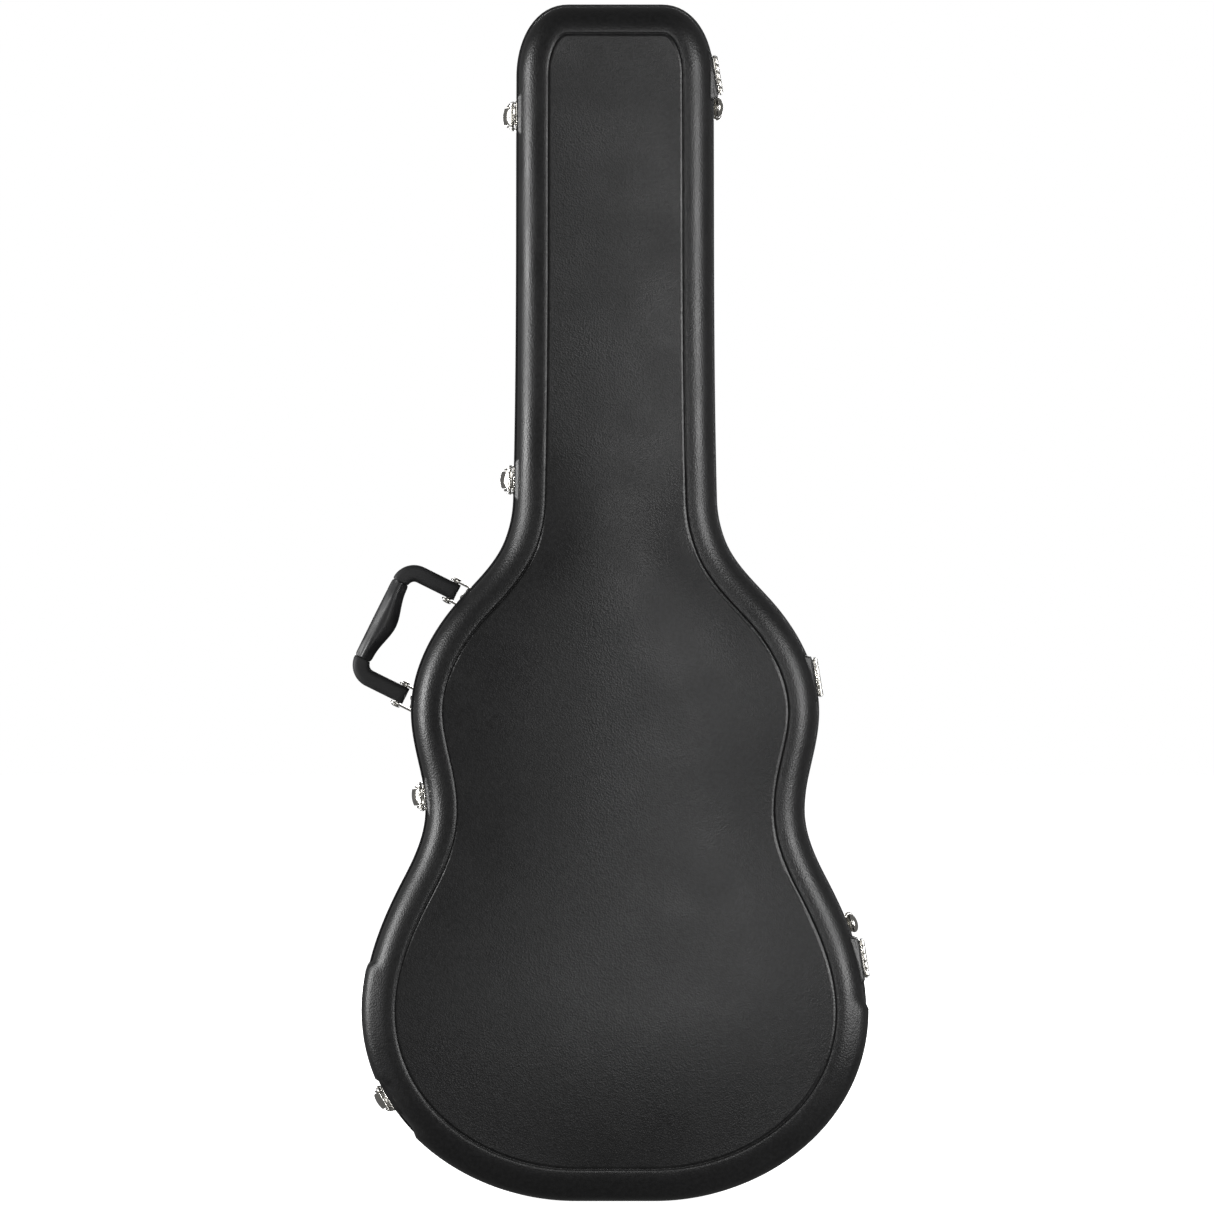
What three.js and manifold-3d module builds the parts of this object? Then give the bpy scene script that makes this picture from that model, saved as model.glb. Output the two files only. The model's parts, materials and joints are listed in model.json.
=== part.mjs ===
// Hard guitar case with moulded shells, standing on its bumpers with the neck upwards.
// Millimetres. +X is the hinge side, -Y the lid's face, +Z along the neck.
import * as THREE from 'three';
import { mergeVertices } from 'three/addons/utils/BufferGeometryUtils.js';
import Module from 'manifold-3d';

const wasm = await Module();
wasm.setup();

// ---- driving dimensions ------------------------------------------------------------------
const DEPTH = 152; // over both crowned faces
const CROWN = 14; // rise of each face above its rim, along the middle of the body
const NECK_CROWN = 0.12; // share of that rise on the neck
const CROWN_FADE = { from: 520, to: 720 }; // where the dome dies away into the neck
const PARTING_Y = -25; // the plane where lid and base meet
const LID_FLAT = DEPTH / 2 + PARTING_Y - CROWN; // parting plane to the lid's rim face
const BASE_FLAT = DEPTH / 2 - PARTING_Y - CROWN; // parting plane to the base's rim face
const WALL = 3; // moulded shell
const EDGE_RADIUS = 26; // round edge between wall and face
const GROOVE_OUT = 25.6; // groove round the face, its two sides as insets from the outline
const GROOVE_IN = 28.8;
const GROOVE_DEEP = 1.5;
const GAP = 0.3; // between pieces that touch
const PARTING_GAP = 0.2; // each side of the parting plane
const VALANCE_TALL = 8; // rim extrusion, along Y
const VALANCE_PROUD = 2.2;
const BUMPER_PROUD = 4.2;
const CAVITY_INSET = 30; // outline to the inside of the lining
const LID_PAD_Y = -55; // face of the lid's lining
const FLOOR_Y = 55; // floor of the guitar's body well
const NECK_FLOOR_Y = 18; // raised foam under the neck
const HEAD_FLOOR_Y = 36;
const NECK_STEP_Z = 590; // where the body well ends
const POCKET = { halfWide: 27, low: 650, high: 835 }; // accessory pocket
const HEAD_WELL = { halfWide: 51, low: 880, high: 1036 };
const CRADLE = { low: 843, high: 872, halfWide: 49, notch: 31, top: -40, notchFloor: -27 };
const TOP_Z = 1069.5;
const WIDEST = 223.1; // half width of the lower bout

// Half outline from the middle of the foot to the middle of the top, on the hinge side:
// x, z, direction of travel in degrees, and chords in the arc that ends there.
const ARCS = [
  [0, 4.2, 0, 1],
  [35, 4.2, 0, 1],
  [WIDEST, 171, 90, 7],
  [187.8, 287.6, 117.7, 3],
  [167.8, 350.3, 90, 3],
  [173.5, 390.7, 76.9, 2],
  [180.8, 438, 90, 2],
  [136.5, 538.5, 132.4, 4],
  [96.3, 592, 110.5, 2],
  [89.2, 628, 91.5, 2],
  [86.2, 1008, 90.3, 1],
  [42, TOP_Z, 180, 5],
  [0, TOP_Z, 180, 1],
];

const SPINE = { topX: 92.2, topZ: 1009, bottomX: 223.6, bottomZ: 217 }; // hinge line
const HINGE_ZS = { top: 1009, middle: 469, bottom: 217 };
const HINGE = { long: 34, barrel: 2.4, pin: 1.2, leaf: 1.2, reach: 18, lidReach: 14, knuckles: 5 };
const HINGE_SEAT = 2.8; // barrel axis to the flat that the leaves lie on
const FOOT_ZS = { top: 982, bottom: 245 };
const FOOT = { flange: 12, neck: 6.5, dome: 9, tall: 11, ys: { front: 2, back: 42 } };
const LATCH_ZS = [973, 646, 362, 93];
const SEAT_TOP = 0.9; // moulded flats under the hardware
const PIN_UP = new THREE.Vector2(-145.5, 548.9); // handle pivot pins, x and z
const PIN_DOWN = new THREE.Vector2(-193.9, 451.3);
const BRACKET_ZS = { upper: 542, lower: 446 };

// ---- materials ---------------------------------------------------------------------------
function finish(color, roughness, metalness) {
  return new THREE.MeshStandardMaterial({ color, roughness, metalness });
}
const blackAbs = () => finish(0x262627, 0.55, 0);
const darkRim = () => finish(0x1b1b1d, 0.4, 0.6);
const nickel = () => finish(0xc8c6bd, 0.22, 1);
const rubberBlack = () => finish(0x222223, 0.8, 0);
const gripBlack = () => finish(0x2a2a2b, 0.45, 0);
const plush = () => finish(0x2b2c31, 1, 0);
const steel = () => finish(0x8d8f92, 0.4, 1);

// ---- solids ------------------------------------------------------------------------------
function solid(geometry) {
  geometry.deleteAttribute('normal');
  geometry.deleteAttribute('uv');
  const merged = mergeVertices(geometry, 1e-4);
  return new wasm.Manifold(new wasm.Mesh({
    numProp: 3,
    vertProperties: merged.attributes.position.array,
    triVerts: merged.index.array,
  }));
}

function geometryOf(body) {
  const mesh = body.getMesh();
  const geometry = new THREE.BufferGeometry();
  geometry.setAttribute('position', new THREE.BufferAttribute(mesh.vertProperties, 3));
  geometry.setIndex(new THREE.BufferAttribute(mesh.triVerts, 1));
  return geometry;
}

function boxBetween(low, high) {
  const box = new THREE.BoxGeometry(high[0] - low[0], high[1] - low[1], high[2] - low[2]);
  box.translate((low[0] + high[0]) / 2, (low[1] + high[1]) / 2, (low[2] + high[2]) / 2);
  return box;
}

// A flat shape drawn on x and z, extruded from y = from to y = to.
function slab(shape, from, to, options = {}) {
  const bevel = options.bevel ?? 0;
  const geometry = new THREE.ExtrudeGeometry(shape, {
    depth: to - from - 2 * bevel,
    bevelEnabled: bevel > 0,
    bevelThickness: bevel,
    bevelSize: bevel,
    bevelOffset: -bevel,
    bevelSegments: options.segments ?? 2,
    curveSegments: options.curve ?? 6,
  });
  geometry.rotateX(Math.PI / 2);
  geometry.translate(0, to - bevel, 0);
  return geometry;
}

// A pin or hole along local z, with its middle at (x, y, z).
function rod(radius, long, x, y, z = 0, sides = 8) {
  const geometry = new THREE.CylinderGeometry(radius, radius, long, sides);
  geometry.rotateX(Math.PI / 2);
  geometry.translate(x, y, z);
  return geometry;
}

function moved(geometry, frame) {
  frame.updateMatrixWorld(true);
  return geometry.applyMatrix4(frame.matrixWorld);
}

const part = new THREE.Group();

function add(name, geometry, material, parent = part) {
  const mesh = new THREE.Mesh(geometry, material);
  mesh.name = name;
  parent.add(mesh);
}

// ---- the outline -------------------------------------------------------------------------
function arcPoints(start, end, chords) {
  const from = new THREE.Vector2(start[0], start[1]);
  const to = new THREE.Vector2(end[0], end[1]);
  const turn = THREE.MathUtils.degToRad(Math.abs(end[2] - start[2]));
  const chord = from.distanceTo(to);
  const reach = turn < 1e-6 ? chord / 3 : (2 / 3) * chord * Math.tan(turn / 4) / Math.sin(turn / 2);
  const leave = THREE.MathUtils.degToRad(start[2]);
  const arrive = THREE.MathUtils.degToRad(end[2]);
  return new THREE.CubicBezierCurve(
    from,
    new THREE.Vector2(from.x + reach * Math.cos(leave), from.y + reach * Math.sin(leave)),
    new THREE.Vector2(to.x - reach * Math.cos(arrive), to.y - reach * Math.sin(arrive)),
    to,
  ).getPoints(chords).slice(1);
}

// The right half of the outline, from the foot up, with `detail` times the usual chords.
function halfOutline(detail) {
  const points = [new THREE.Vector2(ARCS[0][0], ARCS[0][1])];
  for (let i = 1; i < ARCS.length; i += 1) {
    points.push(...arcPoints(ARCS[i - 1], ARCS[i], ARCS[i][3] * detail));
  }
  return points;
}

function wholeOutline(detail) {
  const half = halfOutline(detail);
  const left = half.slice(1, -1).reverse().map((p) => new THREE.Vector2(-p.x, p.y));
  return [...half.slice(1), ...left].filter((p, i, all) => !p.equals(all[(i + 1) % all.length]));
}

const OUTLINE = wholeOutline(1);
const FINE_HALF = halfOutline(8);

// Moves every side of a closed outline outwards by the same distance.
function offset(points, distance) {
  return points.map((point, i) => {
    const before = points[(i + points.length - 1) % points.length];
    const after = points[(i + 1) % points.length];
    const a = point.clone().sub(before).normalize();
    const b = after.clone().sub(point).normalize();
    const na = new THREE.Vector2(a.y, -a.x);
    const nb = new THREE.Vector2(b.y, -b.x);
    const scale = distance / (1 + na.dot(nb));
    return point.clone().add(na.add(nb).multiplyScalar(scale));
  });
}

const ring = (distance) => new THREE.Shape(offset(OUTLINE, distance));

function ringBand(outer, inner) {
  const shape = ring(outer);
  shape.holes.push(new THREE.Path(offset(OUTLINE, inner)));
  return shape;
}

// The wall at a height: where it is, and a frame whose x axis points straight out of it.
function wallAt(z, side) {
  const i = FINE_HALF.findIndex((p, k) => k > 9 && p.y >= z);
  const low = FINE_HALF[i - 1];
  const high = FINE_HALF[i];
  const along = (z - low.y) / (high.y - low.y);
  const frame = new THREE.Object3D();
  frame.position.set(side * (low.x + along * (high.x - low.x)), 0, z);
  const lean = Math.atan2(high.x - low.x, high.y - low.y);
  frame.rotation.y = side > 0 ? lean : Math.PI - lean;
  return frame;
}

// ---- shells ------------------------------------------------------------------------------
const halfWidthAt = (z) => Math.abs(wallAt(THREE.MathUtils.clamp(z, 12, 1060), 1).position.x);

// How far a face stands above its rim: a shallow dome that dies away at the foot and the top.
function crownRise(x, z) {
  const wide = Math.max(20, halfWidthAt(z) - GROOVE_IN);
  const foot = THREE.MathUtils.clamp((z - GROOVE_IN - 4) / 150, 0, 1);
  const top = THREE.MathUtils.clamp((TOP_Z - GROOVE_IN - z) / 90, 0, 1);
  const ends = (1 - (1 - foot) ** 2) * (1 - (1 - top) ** 2);
  const neck = THREE.MathUtils.smoothstep(z, CROWN_FADE.from, CROWN_FADE.to);
  return CROWN * (1 - (1 - NECK_CROWN) * neck) * ends * Math.max(0, 1 - (x / wide) ** 2);
}

// A block with a domed far face, that cuts the crown of one face.
function crownMould(side, height, columns, rows) {
  const block = new THREE.BoxGeometry(2 * WIDEST, height, TOP_Z, columns, 1, rows);
  block.translate(0, 0, TOP_Z / 2);
  const at = block.attributes.position;
  for (let i = 0; i < at.count; i += 1) {
    const far = at.getY(i) * side > 0;
    const y = far ? height + crownRise(at.getX(i), at.getZ(i)) : 1;
    at.setY(i, PARTING_Y + side * y);
  }
  return solid(block);
}

// Everything inside the case's own surface, less an inset, on one side of the parting plane.
function tray(side, flat, inset, grid) {
  const round = EDGE_RADIUS - inset;
  const blank = new THREE.ExtrudeGeometry(ring(-EDGE_RADIUS), {
    depth: 2 * (flat - EDGE_RADIUS),
    bevelThickness: round,
    bevelSize: round,
    bevelSegments: inset > 0 ? 2 : 3,
  });
  blank.rotateX(Math.PI / 2);
  blank.translate(0, PARTING_Y + flat - EDGE_RADIUS, 0);
  const far = PARTING_Y + side * (DEPTH + CROWN);
  const near = Math.min(PARTING_Y, far);
  const half = solid(boxBetween([-300, near, -50], [300, near + DEPTH + CROWN, TOP_Z + 50]));
  const panelInset = -(GROOVE_IN - 0.8 + inset);
  const panel = solid(slab(ring(panelInset), near + 2, near + DEPTH + CROWN - 2));
  const crown = panel.intersect(crownMould(side, flat - inset, grid[0], grid[1]));
  return solid(blank).intersect(half).add(crown);
}

// A stretch of the wall between two heights, swollen outwards, as a flat shape.
function bumperShape(points) {
  const outer = points.map((p, i) => {
    const before = points[Math.max(0, i - 1)];
    const after = points[Math.min(points.length - 1, i + 1)];
    const way = after.clone().sub(before).normalize();
    const end = i === 0 || i === points.length - 1;
    return p.clone().add(new THREE.Vector2(way.y, -way.x).multiplyScalar(end ? 0 : BUMPER_PROUD));
  });
  const inner = points.map((p, i) => {
    const before = points[Math.max(0, i - 1)];
    const after = points[Math.min(points.length - 1, i + 1)];
    const way = after.clone().sub(before).normalize();
    return p.clone().add(new THREE.Vector2(-way.y, way.x).multiplyScalar(WALL + 2));
  });
  return new THREE.Shape([...outer, ...inner.reverse()]);
}

const BUMPER_RIGHT_TOP = 177;
const BUMPER_NOTCH = { low: 63, high: 108 };
const BUMPER_LEFT_TOP = 212;

function bumperShapes() {
  const thin = halfOutline(2).filter((p) => p.y < BUMPER_LEFT_TOP + 8);
  const left = thin.map((p) => new THREE.Vector2(-p.x, p.y));
  const foot = [
    ...left.filter((p) => p.y < BUMPER_NOTCH.low && p.x < 0).reverse(),
    ...thin.filter((p) => p.y < BUMPER_RIGHT_TOP),
  ];
  const side = left.filter((p) => p.y > BUMPER_NOTCH.high && p.y < BUMPER_LEFT_TOP).reverse();
  return [foot, side].map(bumperShape);
}

// Flats moulded on the wall for hardware, as a block to add and the clear space above it.
function seat(frame, long, yFrom, yTo, top) {
  const block = boxBetween([top - 9, yFrom, -long / 2], [top, yTo, long / 2]);
  const clear = boxBetween([top, yFrom, -long / 2], [top + 12, yTo, long / 2]);
  return { block: solid(moved(block, frame)), clear: solid(moved(clear, frame)) };
}

function hingeFrame(z) {
  const lean = (SPINE.bottomX - SPINE.topX) / (SPINE.topZ - SPINE.bottomZ);
  const frame = new THREE.Object3D();
  frame.position.set(SPINE.topX + (SPINE.topZ - z) * lean, 0, z);
  frame.rotation.y = -Math.atan(lean);
  return frame;
}

function footSeat(frame, y) {
  const boss = new THREE.CylinderGeometry(FOOT.flange + 1, FOOT.flange + 1, 12, 12);
  boss.rotateZ(Math.PI / 2);
  boss.translate(SEAT_TOP - 6, y, 0);
  const room = new THREE.CylinderGeometry(FOOT.flange + 1, FOOT.flange + 1, 12, 12);
  room.rotateZ(Math.PI / 2);
  room.translate(SEAT_TOP + 6, y, 0);
  return { block: solid(moved(boss, frame)), clear: solid(moved(room, frame)) };
}

function hardwareSeats(side) {
  const lid = side < 0;
  const edge = VALANCE_TALL + GAP;
  const near = PARTING_Y + side * edge;
  const reach = (far) => (lid ? [far, near] : [near, far]);
  const seats = [];
  for (const z of LATCH_ZS) {
    seats.push(seat(wallAt(z, -1), 30, ...reach(lid ? -43.5 : 17.5), SEAT_TOP));
  }
  for (const z of Object.values(HINGE_ZS)) {
    const far = PARTING_Y + side * ((lid ? HINGE.lidReach : HINGE.reach) + 3);
    seats.push(seat(hingeFrame(z), HINGE.long + 3, ...reach(far), -HINGE_SEAT));
  }
  if (!lid) {
    seats.push(seat(wallAt(BRACKET_ZS.upper, -1), 44, -12, 12, SEAT_TOP));
    seats.push(seat(wallAt(BRACKET_ZS.lower, -1), 32, -12, 12, SEAT_TOP));
  }
  for (const z of lid ? [] : Object.values(FOOT_ZS)) {
    for (const y of Object.values(FOOT.ys)) {
      seats.push(footSeat(wallAt(z, 1), y));
    }
  }
  return seats;
}

function shell(side, flat) {
  const mouth = PARTING_Y + side * (VALANCE_TALL + GAP);
  const face = PARTING_Y + side * flat;
  let body = tray(side, flat, 0, [12, 18]);
  const grooveTo = face + side * 20;
  const grooveFrom = face - side * GROOVE_DEEP;
  const groove = slab(ringBand(-GROOVE_OUT, -GROOVE_IN), ...[grooveFrom, grooveTo].sort((a, b) => a - b));
  body = body.subtract(solid(groove));
  const bumperFar = PARTING_Y + side * (flat - 6);
  for (const shape of bumperShapes()) {
    const span = [mouth + side, bumperFar].sort((a, b) => a - b);
    body = body.add(solid(slab(shape, ...span)));
  }
  for (const { block, clear } of hardwareSeats(side)) {
    body = body.add(block).subtract(clear);
  }
  body = body.subtract(tray(side, flat, WALL, [4, 8]));
  const keep = [mouth, PARTING_Y + side * 2 * DEPTH].sort((a, b) => a - b);
  return body.intersect(solid(boxBetween([-300, keep[0], -50], [300, keep[1], TOP_Z + 50])));
}

function valance(side) {
  const span = [PARTING_Y + side * PARTING_GAP, PARTING_Y + side * VALANCE_TALL].sort((a, b) => a - b);
  let band = solid(slab(ringBand(VALANCE_PROUD, -WALL), ...span));
  for (const z of Object.values(HINGE_ZS)) {
    const frame = hingeFrame(z);
    const half = (HINGE.long + 3) / 2;
    const room = boxBetween([-HINGE_SEAT, PARTING_Y - 12, -half], [12, PARTING_Y + 12, half]);
    band = band.subtract(solid(moved(room, frame)));
  }
  return band;
}

// ---- lining ------------------------------------------------------------------------------
function liner(side, flat) {
  const block = tray(side, flat, WALL + GAP, [4, 8]);
  const start = PARTING_Y + side * PARTING_GAP;
  const keep = [start, PARTING_Y + side * 2 * DEPTH].sort((a, b) => a - b);
  return block.intersect(solid(boxBetween([-300, keep[0], -50], [300, keep[1], TOP_Z + 50])));
}

function lidLiner() {
  return liner(-1, LID_FLAT).subtract(solid(slab(ring(-CAVITY_INSET), LID_PAD_Y, 0)));
}

function baseLiner() {
  const well = ring(-CAVITY_INSET);
  const deep = solid(slab(well, -60, FLOOR_Y));
  const bodyOnly = solid(boxBetween([-300, -80, 0], [300, 80, NECK_STEP_Z]));
  const head = [HEAD_WELL.halfWide, HEAD_FLOOR_Y];
  return liner(1, BASE_FLAT)
    .subtract(solid(slab(well, -60, NECK_FLOOR_Y)))
    .subtract(deep.intersect(bodyOnly))
    .subtract(solid(boxBetween([-POCKET.halfWide, 0, POCKET.low], [POCKET.halfWide, FLOOR_Y, POCKET.high])))
    .subtract(solid(boxBetween([-head[0], 0, HEAD_WELL.low], [head[0], head[1], HEAD_WELL.high])));
}

function neckCradle() {
  const { halfWide, notch, top, notchFloor } = CRADLE;
  const foot = NECK_FLOOR_Y - GAP;
  const shape = new THREE.Shape();
  shape.moveTo(-halfWide, foot);
  shape.lineTo(-halfWide, top + 8);
  shape.quadraticCurveTo(-halfWide, top, -halfWide + 6, top);
  shape.lineTo(-notch - 3, top);
  shape.quadraticCurveTo(-notch, top, -notch + 2, top + 4);
  shape.bezierCurveTo(-notch + 8, notchFloor + 1, notch - 8, notchFloor + 1, notch - 2, top + 4);
  shape.quadraticCurveTo(notch, top, notch + 3, top);
  shape.lineTo(halfWide - 6, top);
  shape.quadraticCurveTo(halfWide, top, halfWide, top + 8);
  shape.lineTo(halfWide, foot);
  const block = new THREE.ExtrudeGeometry(shape, {
    depth: CRADLE.high - CRADLE.low,
    bevelEnabled: false,
    curveSegments: 6,
  });
  block.translate(0, 0, CRADLE.low);
  return block;
}

const FLAP = { halfWide: 32, low: 643, high: 841, thick: 2.6, y: 14.9 };

function roundedRectangle(x0, z0, x1, z1, r) {
  const shape = new THREE.Shape();
  shape.absarc(x1 - r, z0 + r, r, -Math.PI / 2, 0);
  shape.absarc(x1 - r, z1 - r, r, 0, Math.PI / 2);
  shape.absarc(x0 + r, z1 - r, r, Math.PI / 2, Math.PI);
  shape.absarc(x0 + r, z0 + r, r, Math.PI, 1.5 * Math.PI);
  return shape;
}

function addPocketFlap() {
  const board = roundedRectangle(-FLAP.halfWide, FLAP.low, FLAP.halfWide, FLAP.high, 5);
  add('pocket_flap', slab(board, FLAP.y, FLAP.y + FLAP.thick, { curve: 3 }), plush());
  const middle = (FLAP.low + FLAP.high) / 2;
  const tab = roundedRectangle(FLAP.halfWide - 16, middle - 8, FLAP.halfWide + 7, middle + 8, 5);
  add('pocket_pull', slab(tab, FLAP.y - GAP - 1, FLAP.y - GAP, { curve: 3 }), plush());
}

// ---- hinges ------------------------------------------------------------------------------
function hingeLeaf(side) {
  const { long, barrel, pin, leaf, knuckles } = HINGE;
  const reach = side > 0 ? HINGE.reach : HINGE.lidReach;
  const step = long / knuckles;
  const plateTop = -HINGE_SEAT + GAP + leaf;
  const ends = [PARTING_Y + side * (barrel + 0.6), PARTING_Y + side * reach].sort((a, b) => a - b);
  let body = solid(boxBetween([plateTop - leaf, ends[0], -long / 2], [plateTop, ends[1], long / 2]));
  const first = side > 0 ? 0 : 1;
  for (let k = first; k < knuckles; k += 2) {
    const low = -long / 2 + k * step + GAP / 2;
    const high = low + step - GAP;
    const tab = [PARTING_Y, PARTING_Y + side * (barrel + 1)].sort((a, b) => a - b);
    body = body.add(solid(boxBetween([plateTop - leaf, tab[0], low], [plateTop, tab[1], high])));
    body = body.add(solid(rod(barrel, high - low, 0, PARTING_Y, (low + high) / 2)));
  }
  return body.subtract(solid(rod(pin + 0.15, 2 * long, 0, PARTING_Y)));
}

function addHinge(name, z) {
  const frame = hingeFrame(z);
  add(`hinge_${name}_base_leaf`, geometryOf(hingeLeaf(1)), nickel(), frame);
  add(`hinge_${name}_lid_leaf`, geometryOf(hingeLeaf(-1)), nickel(), frame);
  add(`hinge_${name}_pin`, rod(HINGE.pin, HINGE.long + 2, 0, PARTING_Y), steel(), frame);
  part.add(frame);
}

// ---- feet --------------------------------------------------------------------------------
function footGeometry(y) {
  const { flange, neck, dome, tall } = FOOT;
  const low = SEAT_TOP + GAP;
  const middle = tall - 5;
  const profile = [
    new THREE.Vector2(0, low),
    new THREE.Vector2(flange, low),
    new THREE.Vector2(flange, low + 0.8),
    new THREE.Vector2(neck + 2, low + 1.8),
    new THREE.Vector2(neck, low + 3),
  ];
  for (let k = 0; k <= 3; k += 1) {
    const a = THREE.MathUtils.degToRad(-20 + (k * 110) / 3);
    profile.push(new THREE.Vector2(k === 3 ? 0 : dome * Math.cos(a), middle + 5 * Math.sin(a)));
  }
  const geometry = new THREE.LatheGeometry(profile, 12);
  geometry.rotateZ(-Math.PI / 2);
  geometry.translate(0, y, 0);
  return geometry;
}

function addFeet(name, z) {
  const frame = wallAt(z, 1);
  for (const [side, y] of Object.entries(FOOT.ys)) {
    add(`foot_${name}_${side}`, footGeometry(y), nickel(), frame);
  }
  part.add(frame);
}

// ---- latches -----------------------------------------------------------------------------
const LATCH = {
  plateLow: SEAT_TOP + GAP,
  plateThick: 1.4,
  pivot: new THREE.Vector2(5.5, -11),
  trunnion: new THREE.Vector2(8.7, -4.5),
  leverHalf: 7.6,
  armIn: 8.2,
  armOut: 10.2,
  earIn: 10.9,
  earOut: 12.4,
  lipY: -34.6,
  barY: -37.4,
};

// A profile drawn on local x (out from the wall) and y, extruded along z.
function across(shape, from, to, curve = 3) {
  const options = { depth: to - from, bevelEnabled: false, curveSegments: curve };
  const geometry = new THREE.ExtrudeGeometry(shape, options);
  geometry.translate(0, 0, from);
  return geometry;
}

function latchPlate() {
  const { plateLow, plateThick, pivot, earIn, earOut } = LATCH;
  const top = plateLow + plateThick;
  let body = solid(boxBetween([plateLow, -16.2, -14], [top, 16.8, 14]));
  const ear = new THREE.Shape();
  ear.moveTo(top - 0.5, pivot.y + 4.6);
  ear.lineTo(top - 0.5, pivot.y - 4.6);
  ear.absarc(pivot.x, pivot.y, 2.7, -Math.PI / 2, Math.PI / 2);
  for (const side of [-1, 1]) {
    const ends = [side * earIn, side * earOut].sort((a, b) => a - b);
    body = body.add(solid(across(ear, ...ends)));
  }
  return body.subtract(solid(rod(1.45, 40, pivot.x, pivot.y)));
}

function latchLever() {
  const { pivot, trunnion, leverHalf, armOut } = LATCH;
  const shape = new THREE.Shape();
  shape.moveTo(pivot.x + 1, pivot.y - 2.4);
  shape.bezierCurveTo(11, -12, 14.6, -6, 14.8, 1);
  shape.bezierCurveTo(14.8, 7, 13.4, 13, 9.6, 19);
  shape.quadraticCurveTo(8.4, 19.6, 8.2, 18);
  shape.bezierCurveTo(11.4, 12.4, 12.8, 7, 12.6, 2);
  shape.quadraticCurveTo(12.2, -2.4, 8.4, -1.6);
  shape.quadraticCurveTo(6.4, -3, 6.2, -8.7);
  shape.lineTo(pivot.x, pivot.y + 2.4);
  shape.absarc(pivot.x, pivot.y, 2.4, Math.PI / 2, 1.5 * Math.PI);
  const body = solid(across(shape, -leverHalf, leverHalf));
  const pins = solid(rod(1.1, 2 * armOut + 0.6, trunnion.x, trunnion.y));
  return body.add(pins).subtract(solid(rod(1.45, 40, pivot.x, pivot.y)));
}

function latchHook() {
  const { trunnion, armIn, armOut, barY } = LATCH;
  const shape = new THREE.Shape();
  shape.absarc(trunnion.x, trunnion.y, 2.3, -0.2 * Math.PI, 0.8 * Math.PI);
  shape.lineTo(trunnion.x - 1.6, trunnion.y - 2);
  shape.lineTo(5.6, barY + 2);
  shape.lineTo(4.7, barY);
  shape.lineTo(4.7, barY - 2.6);
  shape.lineTo(7.7, barY - 2.6);
  shape.closePath();
  let body = solid(across(shape, -armOut, -armIn)).add(solid(across(shape, armIn, armOut)));
  body = body.add(solid(boxBetween([4.7, barY - 2.6, -armOut], [7.4, barY, armOut])));
  return body.subtract(solid(rod(1.4, 40, trunnion.x, trunnion.y)));
}

function latchStrike() {
  const { plateLow, plateThick, lipY } = LATCH;
  const top = plateLow + plateThick;
  const plate = solid(boxBetween([plateLow, -42.5, -12.5], [top, lipY + 0.8, 12.5]));
  const lip = solid(boxBetween([top - 0.5, lipY - 1.8, -7], [8, lipY, 7]));
  return plate.add(lip);
}

function addLatch(number, z) {
  const frame = wallAt(z, -1);
  const name = `latch_${number}`;
  add(`${name}_plate`, geometryOf(latchPlate()), nickel(), frame);
  add(`${name}_lever`, geometryOf(latchLever()), nickel(), frame);
  add(`${name}_pin`, rod(1.2, 26.4, LATCH.pivot.x, LATCH.pivot.y), steel(), frame);
  add(`${name}_hook`, geometryOf(latchHook()), nickel(), frame);
  add(`${name}_strike`, geometryOf(latchStrike()), nickel(), frame);
  part.add(frame);
}

// ---- handle ------------------------------------------------------------------------------
// Its frame has x pointing away from the case, and z down the line of the two pivot pins.
const HANDLE = {
  armAt: 52,
  armThick: 15.2,
  armWide: 16,
  gripHalf: 38.5,
  outer: 53,
  inner: 37.4,
  strapAt: 45.2,
};
const HALF_SPAN = PIN_UP.distanceTo(PIN_DOWN) / 2;

function handleFrame() {
  const frame = new THREE.Object3D();
  const middle = PIN_UP.clone().add(PIN_DOWN).multiplyScalar(0.5);
  frame.position.set(middle.x, 0, middle.y);
  const down = PIN_DOWN.clone().sub(PIN_UP).normalize();
  frame.rotation.y = Math.atan2(down.x, down.y);
  return frame;
}

// The middle of the strap on one side, from the pin's end round the corner to the grip.
function strapPath(end, reach) {
  const at = (q, w) => new THREE.Vector3(q, 0, end * w);
  const path = new THREE.CurvePath();
  path.add(new THREE.LineCurve3(at(-5, HANDLE.armAt), at(12, HANDLE.armAt)));
  path.add(new THREE.CubicBezierCurve3(
    at(12, HANDLE.armAt),
    at(32, HANDLE.armAt - 1),
    at(HANDLE.strapAt, HANDLE.armAt),
    at(HANDLE.strapAt, HANDLE.gripHalf),
  ));
  if (reach < HANDLE.gripHalf) {
    path.add(new THREE.LineCurve3(at(HANDLE.strapAt, HANDLE.gripHalf), at(HANDLE.strapAt, reach)));
  }
  return path;
}

// A bar section: how thick it is across the strap, and how wide along y.
function roundBar(thick, wide, round) {
  return roundedRectangle(-thick / 2, -wide / 2, thick / 2, wide / 2, round);
}

function strapHalf(end, extra) {
  const t = 1.2 + extra / 2;
  const w = 5.5 + extra / 2;
  const corners = [[-t, -w], [t, -w], [t, w], [-t, w]].map(([x, y]) => new THREE.Vector2(x, y));
  const section = new THREE.Shape(corners);
  const options = { steps: 9, extrudePath: strapPath(end, -0.5) };
  return solid(new THREE.ExtrudeGeometry(section, options));
}

function strap(extra) {
  return strapHalf(-1, extra).add(strapHalf(1, extra));
}

const pinHole = () => solid(rod(2.8, 200, 0, 0));

// What is cut from an arm's end, so that it is round about its pin and clears the bracket.
function armEndRoom(end) {
  const middle = end * HANDLE.armAt;
  const block = solid(boxBetween([-12, -12, middle - 12], [0, 12, middle + 12]));
  return block.subtract(solid(rod(HANDLE.armWide / 2, 30, 0, 0, middle, 16)));
}

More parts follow.
